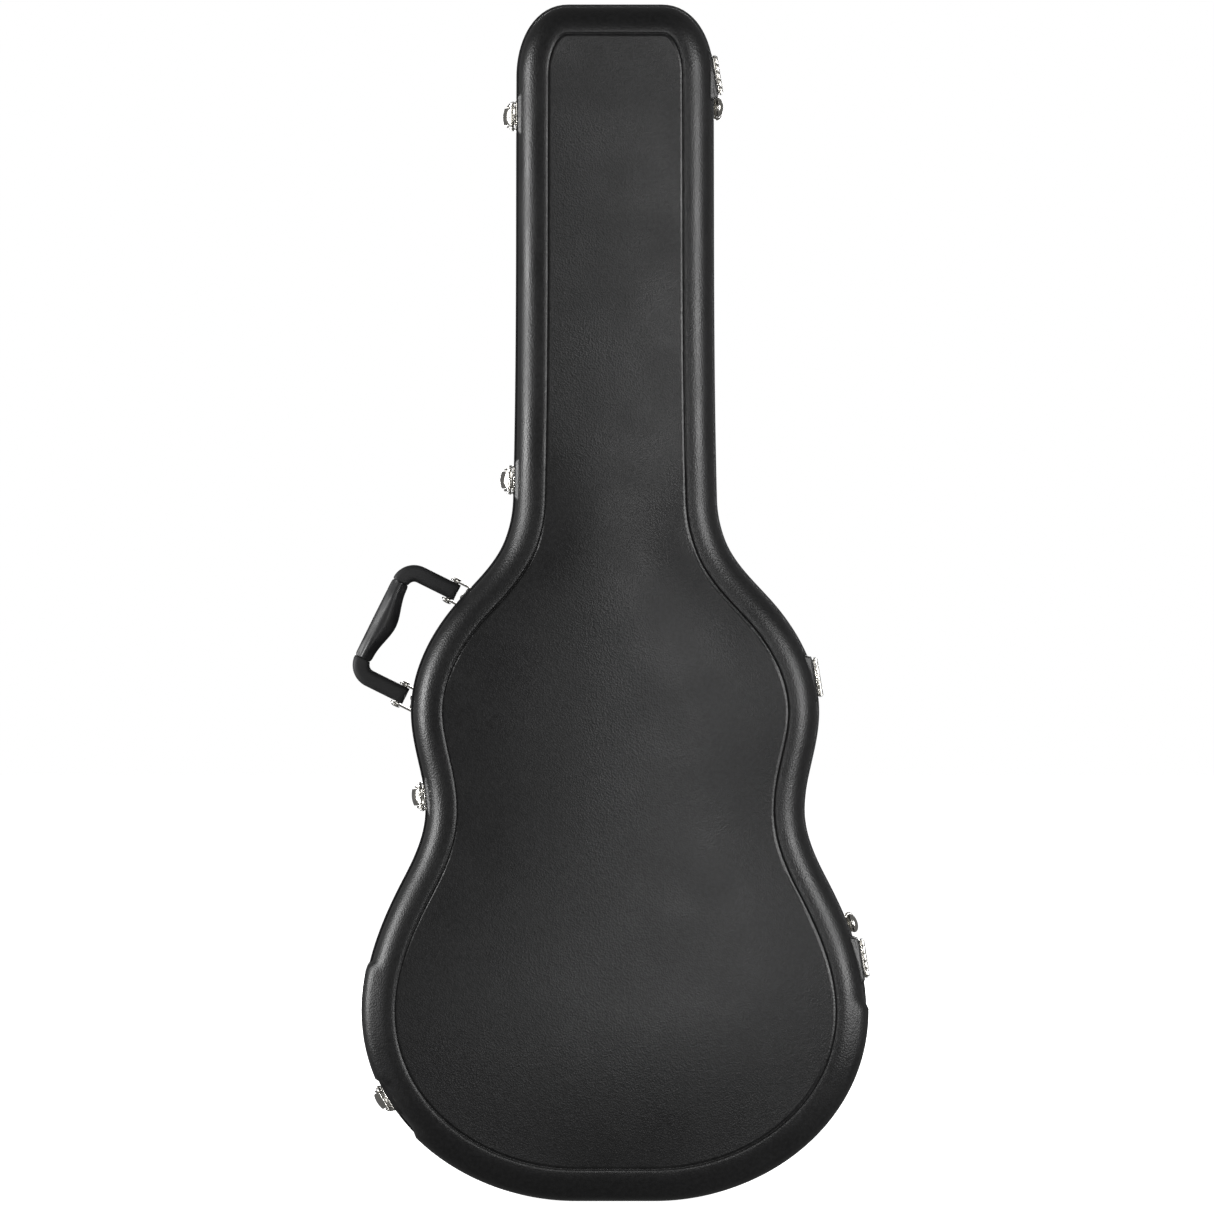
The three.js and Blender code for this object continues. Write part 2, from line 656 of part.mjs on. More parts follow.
function handleArm(end) {
  const section = roundBar(HANDLE.armThick, HANDLE.armWide, 5);
  const options = { steps: 8, extrudePath: strapPath(end, HANDLE.gripHalf), curveSegments: 2 };
  const rubber = solid(new THREE.ExtrudeGeometry(section, options));
  return rubber.subtract(armEndRoom(end)).subtract(strap(2 * GAP)).subtract(pinHole());
}

function handleGrip() {
  const { gripHalf, outer, inner } = HANDLE;
  const end = gripHalf - GAP;
  const shape = new THREE.Shape();
  shape.moveTo(outer - 0.4, -end);
  shape.quadraticCurveTo(outer + 0.8, 0, outer - 0.4, end);
  shape.lineTo(inner - 0.6, end);
  shape.bezierCurveTo(inner + 1.6, 26, 31, 14, 31, 0);
  shape.bezierCurveTo(31, -14, inner + 1.6, -26, inner - 0.6, -end);
  const body = solid(slab(shape, -12, 12, { bevel: 4.5, segments: 2, curve: 4 }));
  return body.subtract(strap(2 * GAP));
}

function handlePin(end) {
  const length = HANDLE.armThick / 2 + 3.2;
  const profile = [
    new THREE.Vector2(0, -length - 1.4),
    new THREE.Vector2(3.6, -length - 1.2),
    new THREE.Vector2(4, -length),
    new THREE.Vector2(2.5, -length),
    new THREE.Vector2(2.5, length),
    new THREE.Vector2(4, length),
    new THREE.Vector2(3.6, length + 1.2),
    new THREE.Vector2(0, length + 1.4),
  ];
  const geometry = new THREE.LatheGeometry(profile, 10);
  geometry.rotateX(Math.PI / 2);
  geometry.translate(0, 0, end * HANDLE.armAt);
  return geometry;
}

// A plate on the wall with two ears that carry one pin.
function handleBracket(frame, end, z, long) {
  const wall = wallAt(z, -1);
  const low = SEAT_TOP + GAP;
  const plate = solid(moved(boxBetween([low, -11, -long / 2], [low + 2, 11, long / 2]), wall));
  const above = solid(moved(boxBetween([low + 1, -30, -60], [60, 30, 60]), wall));
  const ear = new THREE.Shape();
  ear.moveTo(-30, 9);
  ear.lineTo(-30, -9);
  ear.lineTo(-8, -8);
  ear.absarc(0, 0, 5.6, -0.6 * Math.PI, 0.6 * Math.PI);
  ear.lineTo(-8, 8);
  let ears = null;
  for (const side of [-1, 1]) {
    const middle = end * HANDLE.armAt + side * (HANDLE.armThick / 2 + 1.7);
    const tab = across(ear, middle - 1, middle + 1);
    const body = solid(moved(tab, frame));
    ears = ears ? ears.add(body) : body;
  }
  const hole = solid(moved(rod(2.8, 60, 0, 0, end * HANDLE.armAt), frame));
  return plate.add(ears.intersect(above)).subtract(hole);
}

function addHandle() {
  const frame = handleFrame();
  add('handle_strap', geometryOf(strap(0).subtract(pinHole())), steel(), frame);
  add('handle_grip', geometryOf(handleGrip()), gripBlack(), frame);
  const upper = -1;
  const lower = 1;
  add('handle_arm_upper', geometryOf(handleArm(upper)), rubberBlack(), frame);
  add('handle_arm_lower', geometryOf(handleArm(lower)), rubberBlack(), frame);
  add('handle_pin_upper', handlePin(upper), nickel(), frame);
  add('handle_pin_lower', handlePin(lower), nickel(), frame);
  part.add(frame);
  const top = handleBracket(frame, upper, BRACKET_ZS.upper, 41);
  const bottom = handleBracket(frame, lower, BRACKET_ZS.lower, 29);
  add('handle_bracket_upper', geometryOf(top), nickel());
  add('handle_bracket_lower', geometryOf(bottom), nickel());
}

// ---- assembly ----------------------------------------------------------------------------
add('lid_shell', geometryOf(shell(-1, LID_FLAT)), blackAbs());
add('base_shell', geometryOf(shell(1, BASE_FLAT)), blackAbs());
add('lid_valance', geometryOf(valance(-1)), darkRim());
add('base_valance', geometryOf(valance(1)), darkRim());
add('lid_lining', geometryOf(lidLiner()), plush());
add('base_lining', geometryOf(baseLiner()), plush());
add('neck_cradle', neckCradle(), plush());
addPocketFlap();
for (const [name, z] of Object.entries(HINGE_ZS)) {
  addHinge(name, z);
}
for (const [name, z] of Object.entries(FOOT_ZS)) {
  addFeet(name, z);
}
LATCH_ZS.forEach((z, i) => addLatch(i + 1, z));
addHandle();

export default part;
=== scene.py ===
# %% [markdown]
# # A hard guitar case in Blender
# The case is two moulded plastic shells that meet in a dark metal rim. Hinges and feet sit on one long
# side, four draw latches and the handle on the other, and the inside is foam under black plush. The
# parts that move or fit are fixed by the imported frame, so this lesson only makes their fine surfaces.
# The first cell loads that frame and keeps its size.

# %% Load the frame
import json
import math
import bmesh
import bpy
import numpy as np
from mathutils import Matrix, Vector, noise


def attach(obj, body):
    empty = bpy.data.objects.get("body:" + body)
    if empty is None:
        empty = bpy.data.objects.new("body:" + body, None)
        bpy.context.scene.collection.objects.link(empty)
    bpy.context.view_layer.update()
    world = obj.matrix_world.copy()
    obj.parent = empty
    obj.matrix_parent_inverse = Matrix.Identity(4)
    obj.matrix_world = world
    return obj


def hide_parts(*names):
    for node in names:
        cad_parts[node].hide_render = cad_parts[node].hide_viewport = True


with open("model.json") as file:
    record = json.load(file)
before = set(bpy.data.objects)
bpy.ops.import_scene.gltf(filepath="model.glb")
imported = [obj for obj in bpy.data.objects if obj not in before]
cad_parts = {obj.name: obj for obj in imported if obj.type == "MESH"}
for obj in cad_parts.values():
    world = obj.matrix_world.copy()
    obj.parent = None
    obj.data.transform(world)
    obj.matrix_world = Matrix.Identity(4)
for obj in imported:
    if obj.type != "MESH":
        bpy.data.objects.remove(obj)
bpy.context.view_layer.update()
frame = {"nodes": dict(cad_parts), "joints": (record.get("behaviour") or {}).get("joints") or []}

# %% [markdown]
# ## Camera
# A long lens from far away keeps the outline flat, as a drawing would. The view is a little wider than
# the case is tall, and it is aimed at the plane where lid and base meet. Distance and width of view give
# the focal length, so the camera is worked out and not guessed.

# %% Camera
PARTING = -0.025
VIEW_WIDE = 1.089
VIEW_FAR = 6.0
SENSOR = 36.0
lens = bpy.data.cameras.new("camera")
lens.sensor_width = SENSOR
lens.lens = SENSOR * VIEW_FAR / VIEW_WIDE
lens.clip_end = 50.0
camera = bpy.data.objects.new("camera", lens)
bpy.context.scene.collection.objects.link(camera)
camera.location = (-0.0072, PARTING - VIEW_FAR, 0.5319)
camera.rotation_euler = (math.pi / 2, 0, 0)
bpy.context.scene.camera = camera
bpy.context.scene.view_settings.view_transform = "Standard"
print("lens", round(lens.lens, 1), "mm")

# %% [markdown]
# ## Small helpers
# Every piece starts from a primitive and is shaped in edit mode. An operator acts on whatever is
# selected, so each start deselects everything, and faces and edges are picked by their place.

# %% Helpers: starting, picking and placing
MM = 0.001


def start(name, primitive, **size):
    """Adds one primitive, alone in the selection, and names it."""
    if bpy.context.object and bpy.context.object.mode != "OBJECT":
        bpy.ops.object.mode_set(mode="OBJECT")
    bpy.ops.object.select_all(action="DESELECT")
    primitive(**size)
    piece = bpy.context.object
    piece.name = name
    piece.data.name = name
    return piece


def only(piece):
    """Selects one object and makes it active."""
    bpy.ops.object.select_all(action="DESELECT")
    piece.select_set(True)
    bpy.context.view_layer.objects.active = piece
    return piece


def edit(kind="FACE"):
    """Goes into edit mode with everything selected."""
    bpy.ops.object.mode_set(mode="EDIT")
    bpy.ops.mesh.select_mode(type=kind)
    bpy.ops.mesh.select_all(action="SELECT")


def done():
    bpy.ops.object.mode_set(mode="OBJECT")


def middle(item):
    """The middle of a face or an edge, or a vertex's own place."""
    if isinstance(item, bmesh.types.BMFace):
        return item.calc_center_median()
    if isinstance(item, bmesh.types.BMEdge):
        return (item.verts[0].co + item.verts[1].co) / 2
    return item.co


def pick(kind, test):
    """In edit mode, selects the faces, edges or vertices that pass a test."""
    bpy.ops.mesh.select_mode(type=kind)
    bpy.ops.mesh.select_all(action="DESELECT")
    mesh = bpy.context.object.data
    bm = bmesh.from_edit_mesh(mesh)
    for item in {"FACE": bm.faces, "EDGE": bm.edges, "VERT": bm.verts}[kind]:
        if test(item):
            item.select_set(True)
    bm.select_flush_mode()
    bmesh.update_edit_mesh(mesh)


def extrude(x, y, z):
    """In edit mode, extrudes what is selected by a move along the axes."""
    bpy.ops.mesh.extrude_region_move(TRANSFORM_OT_translate={"value": (x, y, z)})


def apply(piece, kind, **values):
    """Adds a modifier, sets it and applies it."""
    only(piece)
    modifier = piece.modifiers.new(kind.lower(), kind)
    for key, value in values.items():
        setattr(modifier, key, value)
    bpy.ops.object.modifier_apply(modifier=modifier.name)
    return piece


def outwards(piece):
    """Merges doubles and turns every face outwards."""
    only(piece)
    edit("VERT")
    bpy.ops.mesh.remove_doubles(threshold=1e-6)
    bpy.ops.mesh.normals_make_consistent(inside=False)
    done()
    return piece


def points_of(piece):
    """The places of a piece's points, one row each."""
    co = np.empty(len(piece.data.vertices) * 3)
    piece.data.vertices.foreach_get("co", co)
    return co.reshape(-1, 3)


def move_points(piece, co):
    piece.data.vertices.foreach_set("co", np.asarray(co, float).ravel())
    piece.data.update()


def normals_of(piece):
    out = np.empty(len(piece.data.vertices) * 3)
    piece.data.vertices.foreach_get("normal", out)
    return out.reshape(-1, 3)


def smooth(piece, angle=40):
    only(piece)
    bpy.ops.object.shade_smooth_by_angle(angle=math.radians(angle))
    return piece


def soft_step(t):
    """Goes from 0 to 1 as t does, and is level at both ends."""
    t = np.clip(t, 0, 1)
    return t * t * (3 - 2 * t)


def join(name, pieces):
    """Joins pieces into the first of them."""
    bpy.ops.object.select_all(action="DESELECT")
    for piece in pieces:
        piece.select_set(True)
    bpy.context.view_layer.objects.active = pieces[0]
    bpy.ops.object.join()
    pieces[0].name = name
    return pieces[0]


def cut(piece, tool):
    """Cuts one piece with another, and takes the tool away."""
    apply(piece, "BOOLEAN", object=tool, operation="DIFFERENCE", solver="EXACT")
    bpy.data.objects.remove(tool)
    return piece


def copy_to(piece, name, matrix):
    """A copy with its own mesh, moved to its place in the mesh."""
    twin = piece.copy()
    twin.data = piece.data.copy()
    twin.name = name
    bpy.context.scene.collection.objects.link(twin)
    twin.data.transform(matrix)
    return twin


def finish(piece, body, material, nodes=(), angle=40):
    """Smooths a piece, gives it its finish, and fixes it to its body in the frame."""
    smooth(piece, angle)
    piece.data.materials.clear()
    piece.data.materials.append(material)
    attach(piece, body)
    if nodes:
        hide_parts(*nodes)
    print(piece.name, len(piece.data.polygons), "faces, on", body)
    return piece


# %% [markdown]
# ## The outline
# Both shells, the rim and the lining follow one outline: a row of round stretches that run into each
# other, from the flat foot up one side to the flat top, and mirrored for the other side. Each stretch
# is a Bezier curve whose handles are as long as a circular arc needs. The points are then spaced evenly,
# because insets stay clean when a ring's edges are alike. The two flats get a fixed number of edges, so
# that a face can later be filled with straight rows from side to side.

# %% The outline
ARCS = [(0, 4.2, 0), (35, 4.2, 0), (223.1, 171, 90), (187.8, 287.6, 117.7), (167.8, 350.3, 90),
        (173.5, 390.7, 76.9), (180.8, 438, 90), (136.5, 538.5, 132.4), (96.3, 592, 110.5),
        (89.2, 628, 91.5), (86.2, 1008, 90.3), (42, 1069.5, 180), (0, 1069.5, 180)]
ROWS = 256
COLUMNS = 24
LEVEL_ROWS = 8


def arc_points(begin, end, count):
    """Points on one stretch, given by two places and the headings there."""
    a, b = np.array(begin[:2], float), np.array(end[:2], float)
    turn, chord = math.radians(abs(end[2] - begin[2])), np.linalg.norm(b - a)
    reach = chord / 3 if turn < 1e-6 else 2 / 3 * chord * math.tan(turn / 4) / math.sin(turn / 2)
    headings = [math.radians(p[2]) for p in (begin, end)]
    way_a, way_b = (np.array([math.cos(h), math.sin(h)]) for h in headings)
    t = np.linspace(0, 1, count)[:, None]
    return ((1 - t) ** 3 * a + 3 * (1 - t) ** 2 * t * (a + reach * way_a)
            + 3 * (1 - t) * t ** 2 * (b - reach * way_b) + t ** 3 * b)


def evenly(line, count):
    """The same line with count + 1 evenly spaced points."""
    run = np.r_[0, np.cumsum(np.linalg.norm(np.diff(line, axis=0), axis=1))]
    at = np.linspace(0, run[-1], count + 1)
    return np.c_[np.interp(at, run, line[:, 0]), np.interp(at, run, line[:, 1])]


def side_line():
    parts = [arc_points(a, b, 200) for a, b in zip(ARCS[1:-2], ARCS[2:-1])]
    return np.vstack([parts[0]] + [p[1:] for p in parts[1:]]) * MM


SIDE = evenly(side_line(), ROWS)
foot = np.c_[np.linspace(-SIDE[0, 0], SIDE[0, 0], COLUMNS + 1), np.full(COLUMNS + 1, SIDE[0, 1])]
crest = np.c_[np.linspace(SIDE[-1, 0], -SIDE[-1, 0], COLUMNS + 1), np.full(COLUMNS + 1, SIDE[-1, 1])]
OUTLINE = np.vstack([foot[:-1], SIDE[:-1], crest[:-1], (SIDE * [-1, 1])[::-1][:-1]])
along = np.roll(OUTLINE, -1, 0) - np.roll(OUTLINE, 1, 0)
OUT = np.c_[along[:, 1], -along[:, 0]] / np.linalg.norm(along, axis=1)[:, None]
TOP = SIDE[-1, 1]
WIDEST = SIDE[:, 0].max()
print("outline", len(OUTLINE), "points,", round(2 * WIDEST, 4), "wide,", round(TOP, 4), "tall")


def nearest(xz):
    """For each place on x and z, the nearest outline point's number and how far it is."""
    index, far = np.empty(len(xz), int), np.empty(len(xz))
    for k in range(0, len(xz), 4000):
        gap = np.linalg.norm(xz[k:k + 4000, None] - OUTLINE[None], axis=2)
        index[k:k + 4000] = gap.argmin(1)
        far[k:k + 4000] = gap.min(1)
    return index, far


def wall_frame(z, side):
    """The wall at a height: local x points straight out of it, and y stays y."""
    i = int(np.searchsorted(SIDE[LEVEL_ROWS:, 1], z)) + LEVEL_ROWS
    low, high = SIDE[i - 1], SIDE[i]
    x = low[0] + (z - low[1]) / (high[1] - low[1]) * (high[0] - low[0])
    lean = math.atan2(high[0] - low[0], high[1] - low[1])
    turn = lean if side > 0 else math.pi - lean
    return Matrix.Translation((side * x, 0, z)) @ Matrix.Rotation(turn, 4, "Y")


# %% [markdown]
# ## A plate on the outline
# A filled circle with one vertex for each outline point is set onto the outline. Everything that runs
# round the case is then pulled up from this plate with extrudes and insets, as a person would do it.

# %% A plate on the outline
def outline_plate(name, y, facing, grow=0.0):
    """An n-gon in the outline, grown by a distance, at y, whose normal points to facing * y."""
    plate = start(name, bpy.ops.mesh.primitive_circle_add, vertices=len(OUTLINE), fill_type="NGON")
    ring = OUTLINE + grow * OUT
    move_points(plate, np.c_[ring[:, 0], np.full(len(ring), y), ring[:, 1]])
    if plate.data.polygons[0].normal.y * facing < 0:
        plate.data.flip_normals()
    return plate


def rise(amounts, facing):
    """Extrudes the selected face along y in several rows."""
    for amount in amounts:
        extrude(0, facing * amount, 0)


def insets(steps):
    """Insets the selected face again and again, by (across, up) steps."""
    for across, up in steps:
        bpy.ops.mesh.inset(thickness=across, depth=up, use_even_offset=True)


def round_over(radius, count):
    """(across, up) steps of a quarter circle that rolls over from a wall to a face."""
    a = np.linspace(0, math.pi / 2, count + 1)
    return list(zip(radius * -np.diff(np.cos(a)), radius * np.diff(np.sin(a))))


def steps_of(profile):
    """(across, up) steps between the (inset, height) points of a profile."""
    return [(b[0] - a[0], b[1] - a[1]) for a, b in zip(profile, profile[1:])]


FLAT_HALF = 0.043


def fill_rows(y):
    """Fills the open ring at y with straight rows from side to side, COLUMNS faces wide."""
    at_level = lambda e: e.is_boundary and abs(middle(e).y - y) < 1e-5
    ring = [e for e in bmesh.from_edit_mesh(bpy.context.object.data).edges if at_level(e)]
    low = min(middle(e).z for e in ring)
    high = max(middle(e).z for e in ring)
    flat = lambda e: any(abs(middle(e).z - z) < 1e-6 and abs(middle(e).x) < FLAT_HALF for z in (low, high))
    pick("EDGE", lambda e: at_level(e) and not flat(e))
    bpy.ops.mesh.bridge_edge_loops(number_cuts=COLUMNS - 1, interpolation="LINEAR")
    pick("VERT", lambda v: abs(v.co.y - y) < 1e-5)
    bpy.ops.mesh.remove_doubles(threshold=3e-5)


# %% [markdown]
# ## Shells
# Each shell of the real case is one sheet of pebbled ABS drawn over a mould. The mould gives it a big
# round edge, a groove that frames the face, a face that is crowned like the guitar inside, lobes that
# swell out at the foot to take knocks, and small flats under the hardware.
# The plate is pulled up for the wall and rolled over with insets, the groove is a few more insets, and
# the face is filled with rows. The crown, lobes and flats are then smooth moves of points, because
# a mould blends them into the wall and a boolean would leave a sharp seam.

# %% Shell sizes
LID_DEEP = 0.037
BASE_DEEP = 0.087
EDGE = 0.026
MOUTH = 0.0083
WALL = 0.003
WALL_ROW = 0.0044
CROWN = 0.014
NECK_CROWN = 0.12
NECK_STARTS = 0.52
NECK_BLEND = 0.2
FOOT_END = 0.15
TOP_END = 0.09
PANEL_INSET = 0.0288
GROOVE = [(24.8, 0), (25.1, -0.12), (25.6, -0.55), (26.1, -1.0), (26.6, -1.1), (27.4, -0.6), (28.3, -0.1),
          (28.8, 0), (29.3, 0)]


def crown_rise(x, z):
    """How far a face stands above its rim: a dome over the body that dies away at the neck and both ends."""
    wide = np.maximum(0.02, np.interp(z, SIDE[:, 1], SIDE[:, 0]) - PANEL_INSET)
    foot_end = 1 - (1 - np.clip((z - PANEL_INSET - 0.004) / FOOT_END, 0, 1)) ** 2
    top_end = 1 - (1 - np.clip((TOP - PANEL_INSET - z) / TOP_END, 0, 1)) ** 2
    tall = CROWN * (1 - (1 - NECK_CROWN) * soft_step((z - NECK_STARTS) / NECK_BLEND))
    return tall * foot_end * top_end * np.maximum(0, 1 - (x / wide) ** 2)


# %% Shells: wall, round edge, groove and face
def shell_blank(name, facing, deep):
    """The outer skin of one shell: wall, round edge, groove, and a flat face in rows."""
    mouth = PARTING + facing * MOUTH
    face = PARTING + facing * deep
    blank = outline_plate(name, mouth, facing)
    wall = deep - EDGE - MOUTH
    rows = max(2, round(wall / WALL_ROW))
    edit()
    rise([wall / rows] * rows, facing)
    roll = round_over(EDGE, 13)
    insets(roll[:-1])
    reached = EDGE - roll[-1][0]
    groove = [(reached / MM, -roll[-1][1] / MM)] + GROOVE
    insets([(a * MM, u * MM) for a, u in steps_of(groove)])
    bpy.ops.mesh.delete(type="ONLY_FACE")
    pick("FACE", lambda f: abs(middle(f).y - mouth) < 1e-5 and len(f.verts) > 4)
    bpy.ops.mesh.delete(type="ONLY_FACE")
    fill_rows(face)
    done()
    return blank


def raise_crown(shell, facing, deep):
    """Lifts the face's points by the crown."""
    co = points_of(shell)
    _, inset = nearest(co[:, [0, 2]])
    face = PARTING + facing * deep
    panel = (abs(co[:, 1] - face) < 2e-5) & (inset > PANEL_INSET - 3e-4)
    co[:, 1] += np.where(panel, facing * crown_rise(co[:, 0], co[:, 2]), 0)
    move_points(shell, co)


# %% [markdown]
# The lobes at the foot are where the case stands and where it is bumped, so the moulding swells out
# there. Each lobe is a window along the wall, and the points inside it move out along their normals.
# The flats under latches, hinges, feet and handle brackets work the same way: a point near a flat moves
# straight out or in until it lies in the flat's plane. Both fade out over a few millimetres.

# %% Shells: lobes and flats
LOBE_PROUD = 0.0042
LOBE_FADE = 0.006
FOOT_LOBE_TOPS = {"left": 0.063, "right": 0.177}
SIDE_LOBE = (0.108, 0.212)
SEAT = 0.0009
LATCH_ZS = [0.973, 0.646, 0.362, 0.093]
FOOT_ZS = {"top": 0.982, "bottom": 0.245}
FOOT_YS = {"front": 0.002, "back": 0.042}
BRACKET_ZS = {"upper": (0.542, 0.041), "lower": (0.446, 0.029)}
HINGE_ZS = {"top": 1.009, "middle": 0.469, "bottom": 0.217}
hinge_joint = next(j for j in frame["joints"] if j["name"] == "lid_hinge")
HINGE_AT, HINGE_WAY = Vector(hinge_joint["pos_m"]), Vector(hinge_joint["axis"]).normalized()
HINGE_SEAT = 0.0028
LATCH_FLAT = {"half": 0.0155, "lid": -0.0435, "base": 0.0180}
HINGE_FLAT = {"half": 0.0186, "lid": 0.0155, "base": 0.0212}
FOOT_FLAT = 0.013
BRACKET_FLAT = 0.0122
FLAT_FADE = 0.0035
FLAT_DEEP = 0.014


def hinge_frame(z):
    """On the hinge line at a height: z runs up the line, x points away from the case."""
    at = HINGE_AT + HINGE_WAY * ((z - HINGE_AT.z) / HINGE_WAY.z)
    lean = math.atan2(HINGE_WAY.x, HINGE_WAY.z)
    return Matrix.Translation((at.x, 0, z)) @ Matrix.Rotation(lean, 4, "Y")


def swell_lobes(shell, facing, deep):
    """Moves the points in the lobes outwards: one at each side of the foot, and one higher on the left."""
    co, normal = points_of(shell), normals_of(shell)
    x, z = co[:, 0], co[:, 2]
    out = (co[:, 1] - PARTING) * facing
    across = soft_step((out - MOUTH) / 0.003) * soft_step((deep - 0.003 - out) / 0.010)
    step_at = lambda rising: soft_step(rising / LOBE_FADE + 0.5)
    foot = np.where(x < 0, step_at(FOOT_LOBE_TOPS["left"] - z), step_at(FOOT_LOBE_TOPS["right"] - z))
    low, high = SIDE_LOBE
    side = np.where(x < 0, step_at(z - low) * step_at(high - z), 0)
    amount = LOBE_PROUD * across * np.maximum(foot, side)
    move_points(shell, co + normal * amount[:, None] * np.array([1, 0.25, 1]))


def flats(facing):
    """Every flat on one shell: its frame, half length, y from and to, height, and whether it is round."""
    shell = "lid" if facing < 0 else "base"
    reach = lambda far: sorted((PARTING + facing * MOUTH, far))
    low, high = reach(LATCH_FLAT[shell])
    found = [(wall_frame(z, -1), LATCH_FLAT["half"], low, high, SEAT, False) for z in LATCH_ZS]
    low, high = reach(PARTING + facing * HINGE_FLAT[shell])
    found += [(hinge_frame(z), HINGE_FLAT["half"], low, high, -HINGE_SEAT, False) for z in HINGE_ZS.values()]
    if shell == "base":
        for z in FOOT_ZS.values():
            for y in FOOT_YS.values():
                found.append((wall_frame(z, 1), FOOT_FLAT, y - FOOT_FLAT, y + FOOT_FLAT, SEAT, True))
        for z, long in BRACKET_ZS.values():
            found.append((wall_frame(z, -1), long / 2 + 0.0015, -BRACKET_FLAT, BRACKET_FLAT, SEAT, False))
    return found


# %% Shells: pressing the flats and giving the wall its thickness
def press_flats(shell, facing):
    """Gives each flat enough points, then moves them onto the flat's plane."""
    for frame_at, half, low, high, top, is_round in flats(facing):
        only(shell)
        edit()
        back = frame_at.inverted()
        near = half + 2 * FLAT_FADE
        local = lambda f: back @ middle(f)
        low_edge, high_edge = low - 4 * FLAT_FADE, high + 4 * FLAT_FADE
        pick("FACE", lambda f: abs(local(f).z) < near and low_edge < local(f).y < high_edge
             and abs(local(f).x) < FLAT_DEEP)
        bpy.ops.mesh.subdivide(number_cuts=2)
        done()
        co = points_of(shell)
        to_local, to_world = np.array(back), np.array(frame_at)
        here = co @ to_local[:3, :3].T + to_local[:3, 3]
        y_mid, y_half = (low + high) / 2, (high - low) / 2
        if is_round:
            past = np.hypot(here[:, 2], here[:, 1] - y_mid) - half
        else:
            past = np.maximum(abs(here[:, 2]) - half, abs(here[:, 1] - y_mid) - y_half)
        weight = (1 - soft_step(past / FLAT_FADE)) * (abs(here[:, 0]) < FLAT_DEEP)
        here[:, 0] += (top - here[:, 0]) * weight
        move_points(shell, here @ to_world[:3, :3].T + to_world[:3, 3])


def make_shell(name, facing, deep):
    shell = shell_blank(name, facing, deep)
    raise_crown(shell, facing, deep)
    swell_lobes(shell, facing, deep)
    press_flats(shell, facing)
    apply(shell, "SOLIDIFY", thickness=WALL, offset=-1, use_even_offset=False)
    return shell


lid_shell = make_shell("lid_shell_moulded", -1, LID_DEEP)
base_shell = make_shell("base_shell_moulded", 1, BASE_DEEP)
print("shells", len(lid_shell.data.polygons), len(base_shell.data.polygons))

# %% [markdown]
# ## Finishes
# Each finish is a node tree on object coordinates, so the grain sits on the part and stays there when the
# part moves. A Finish makes the tree's fixed start, a Principled shader and the coordinates, and its
# methods add the few kinds of node that every finish here is made of.

# %% Helpers for finishes
class Finish:
    """A material whose patterns sit on object coordinates."""

    def __init__(self, name, colour, rough, metal=0.0):
        self.material = bpy.data.materials.new(name)
        self.material.use_nodes = True
        self.nodes, self.links = self.material.node_tree.nodes, self.material.node_tree.links
        self.shader = self.nodes["Principled BSDF"]
        self.shader.inputs["Base Color"].default_value = (*colour, 1)
        self.shader.inputs["Roughness"].default_value = rough
        self.shader.inputs["Metallic"].default_value = metal
        self.place = self.nodes.new("ShaderNodeTexCoord").outputs["Object"]

    def pattern(self, kind, scale, detail=2.0, **sockets):
        """A noise or Voronoi texture's value at a scale in repeats per metre."""
        texture = self.nodes.new({"noise": "ShaderNodeTexNoise", "cells": "ShaderNodeTexVoronoi"}[kind])
        texture.inputs["Scale"].default_value = scale
        if kind == "noise":
            texture.inputs["Detail"].default_value = detail
        for key, value in sockets.items():
            texture.inputs[key].default_value = value
        self.links.new(self.place, texture.inputs["Vector"])
        return texture.outputs["Fac" if kind == "noise" else "Distance"]

    def ranged(self, value, low, high):
        """Stretches a texture's middle values over the range from low to high."""
        node = self.nodes.new("ShaderNodeMapRange")
        for key, number in (("From Min", 0.35), ("From Max", 0.65), ("To Min", low), ("To Max", high)):
            node.inputs[key].default_value = number
        self.links.new(value, node.inputs["Value"])
        return node.outputs["Result"]

    def colour_between(self, share, one, two):
        """Colours the finish between two colours, by a value from 0 to 1."""
        node = self.nodes.new("ShaderNodeMix")
        node.data_type = "RGBA"
        node.inputs["A"].default_value = (*one, 1)
        node.inputs["B"].default_value = (*two, 1)
        self.links.new(share, node.inputs["Factor"])
        self.links.new(node.outputs["Result"], self.shader.inputs["Base Color"])

    def bump(self, height, strength, deep, under=None):
        """Raises the surface by a value, on top of another bump if one is given."""
        node = self.nodes.new("ShaderNodeBump")
        node.inputs["Strength"].default_value = strength
        node.inputs["Distance"].default_value = deep
        self.links.new(height, node.inputs["Height"])
        if under:
            self.links.new(under, node.inputs["Normal"])
        self.links.new(node.outputs["Normal"], self.shader.inputs["Normal"])
        return node.outputs["Normal"]

    def rough_between(self, value, low, high):
        """Drives the roughness between two values by a texture."""
        self.links.new(self.ranged(value, low, high), self.shader.inputs["Roughness"])


# %% [markdown]
# Moulded ABS has a pebbled grain, pressed into it by the mould: small round hills, a millimetre or two
# across. Cells of a Voronoi texture give the hills and a finer noise breaks them up. Handling polishes
# some patches, so the roughness drifts a little, and the colour is not quite even.

# %% Finishes: pebbled shell plastic and the metal rim
def pebbled_plastic():
    look = Finish("pebbled_abs", (0.011, 0.011, 0.0115), 0.34)
    hills = look.pattern("cells", 620)
    fine = look.pattern("noise", 1500)
    first = look.bump(hills, 0.38, 0.0004)
    look.bump(fine, 0.25, 0.0002, first)
    look.rough_between(look.pattern("noise", 22, 4.0), 0.34, 0.42)
    patch = look.ranged(look.pattern("noise", 300, 4.0), 0, 1)
    look.colour_between(patch, (0.0065, 0.0065, 0.0067), (0.0135, 0.0135, 0.0139))
    return look.material


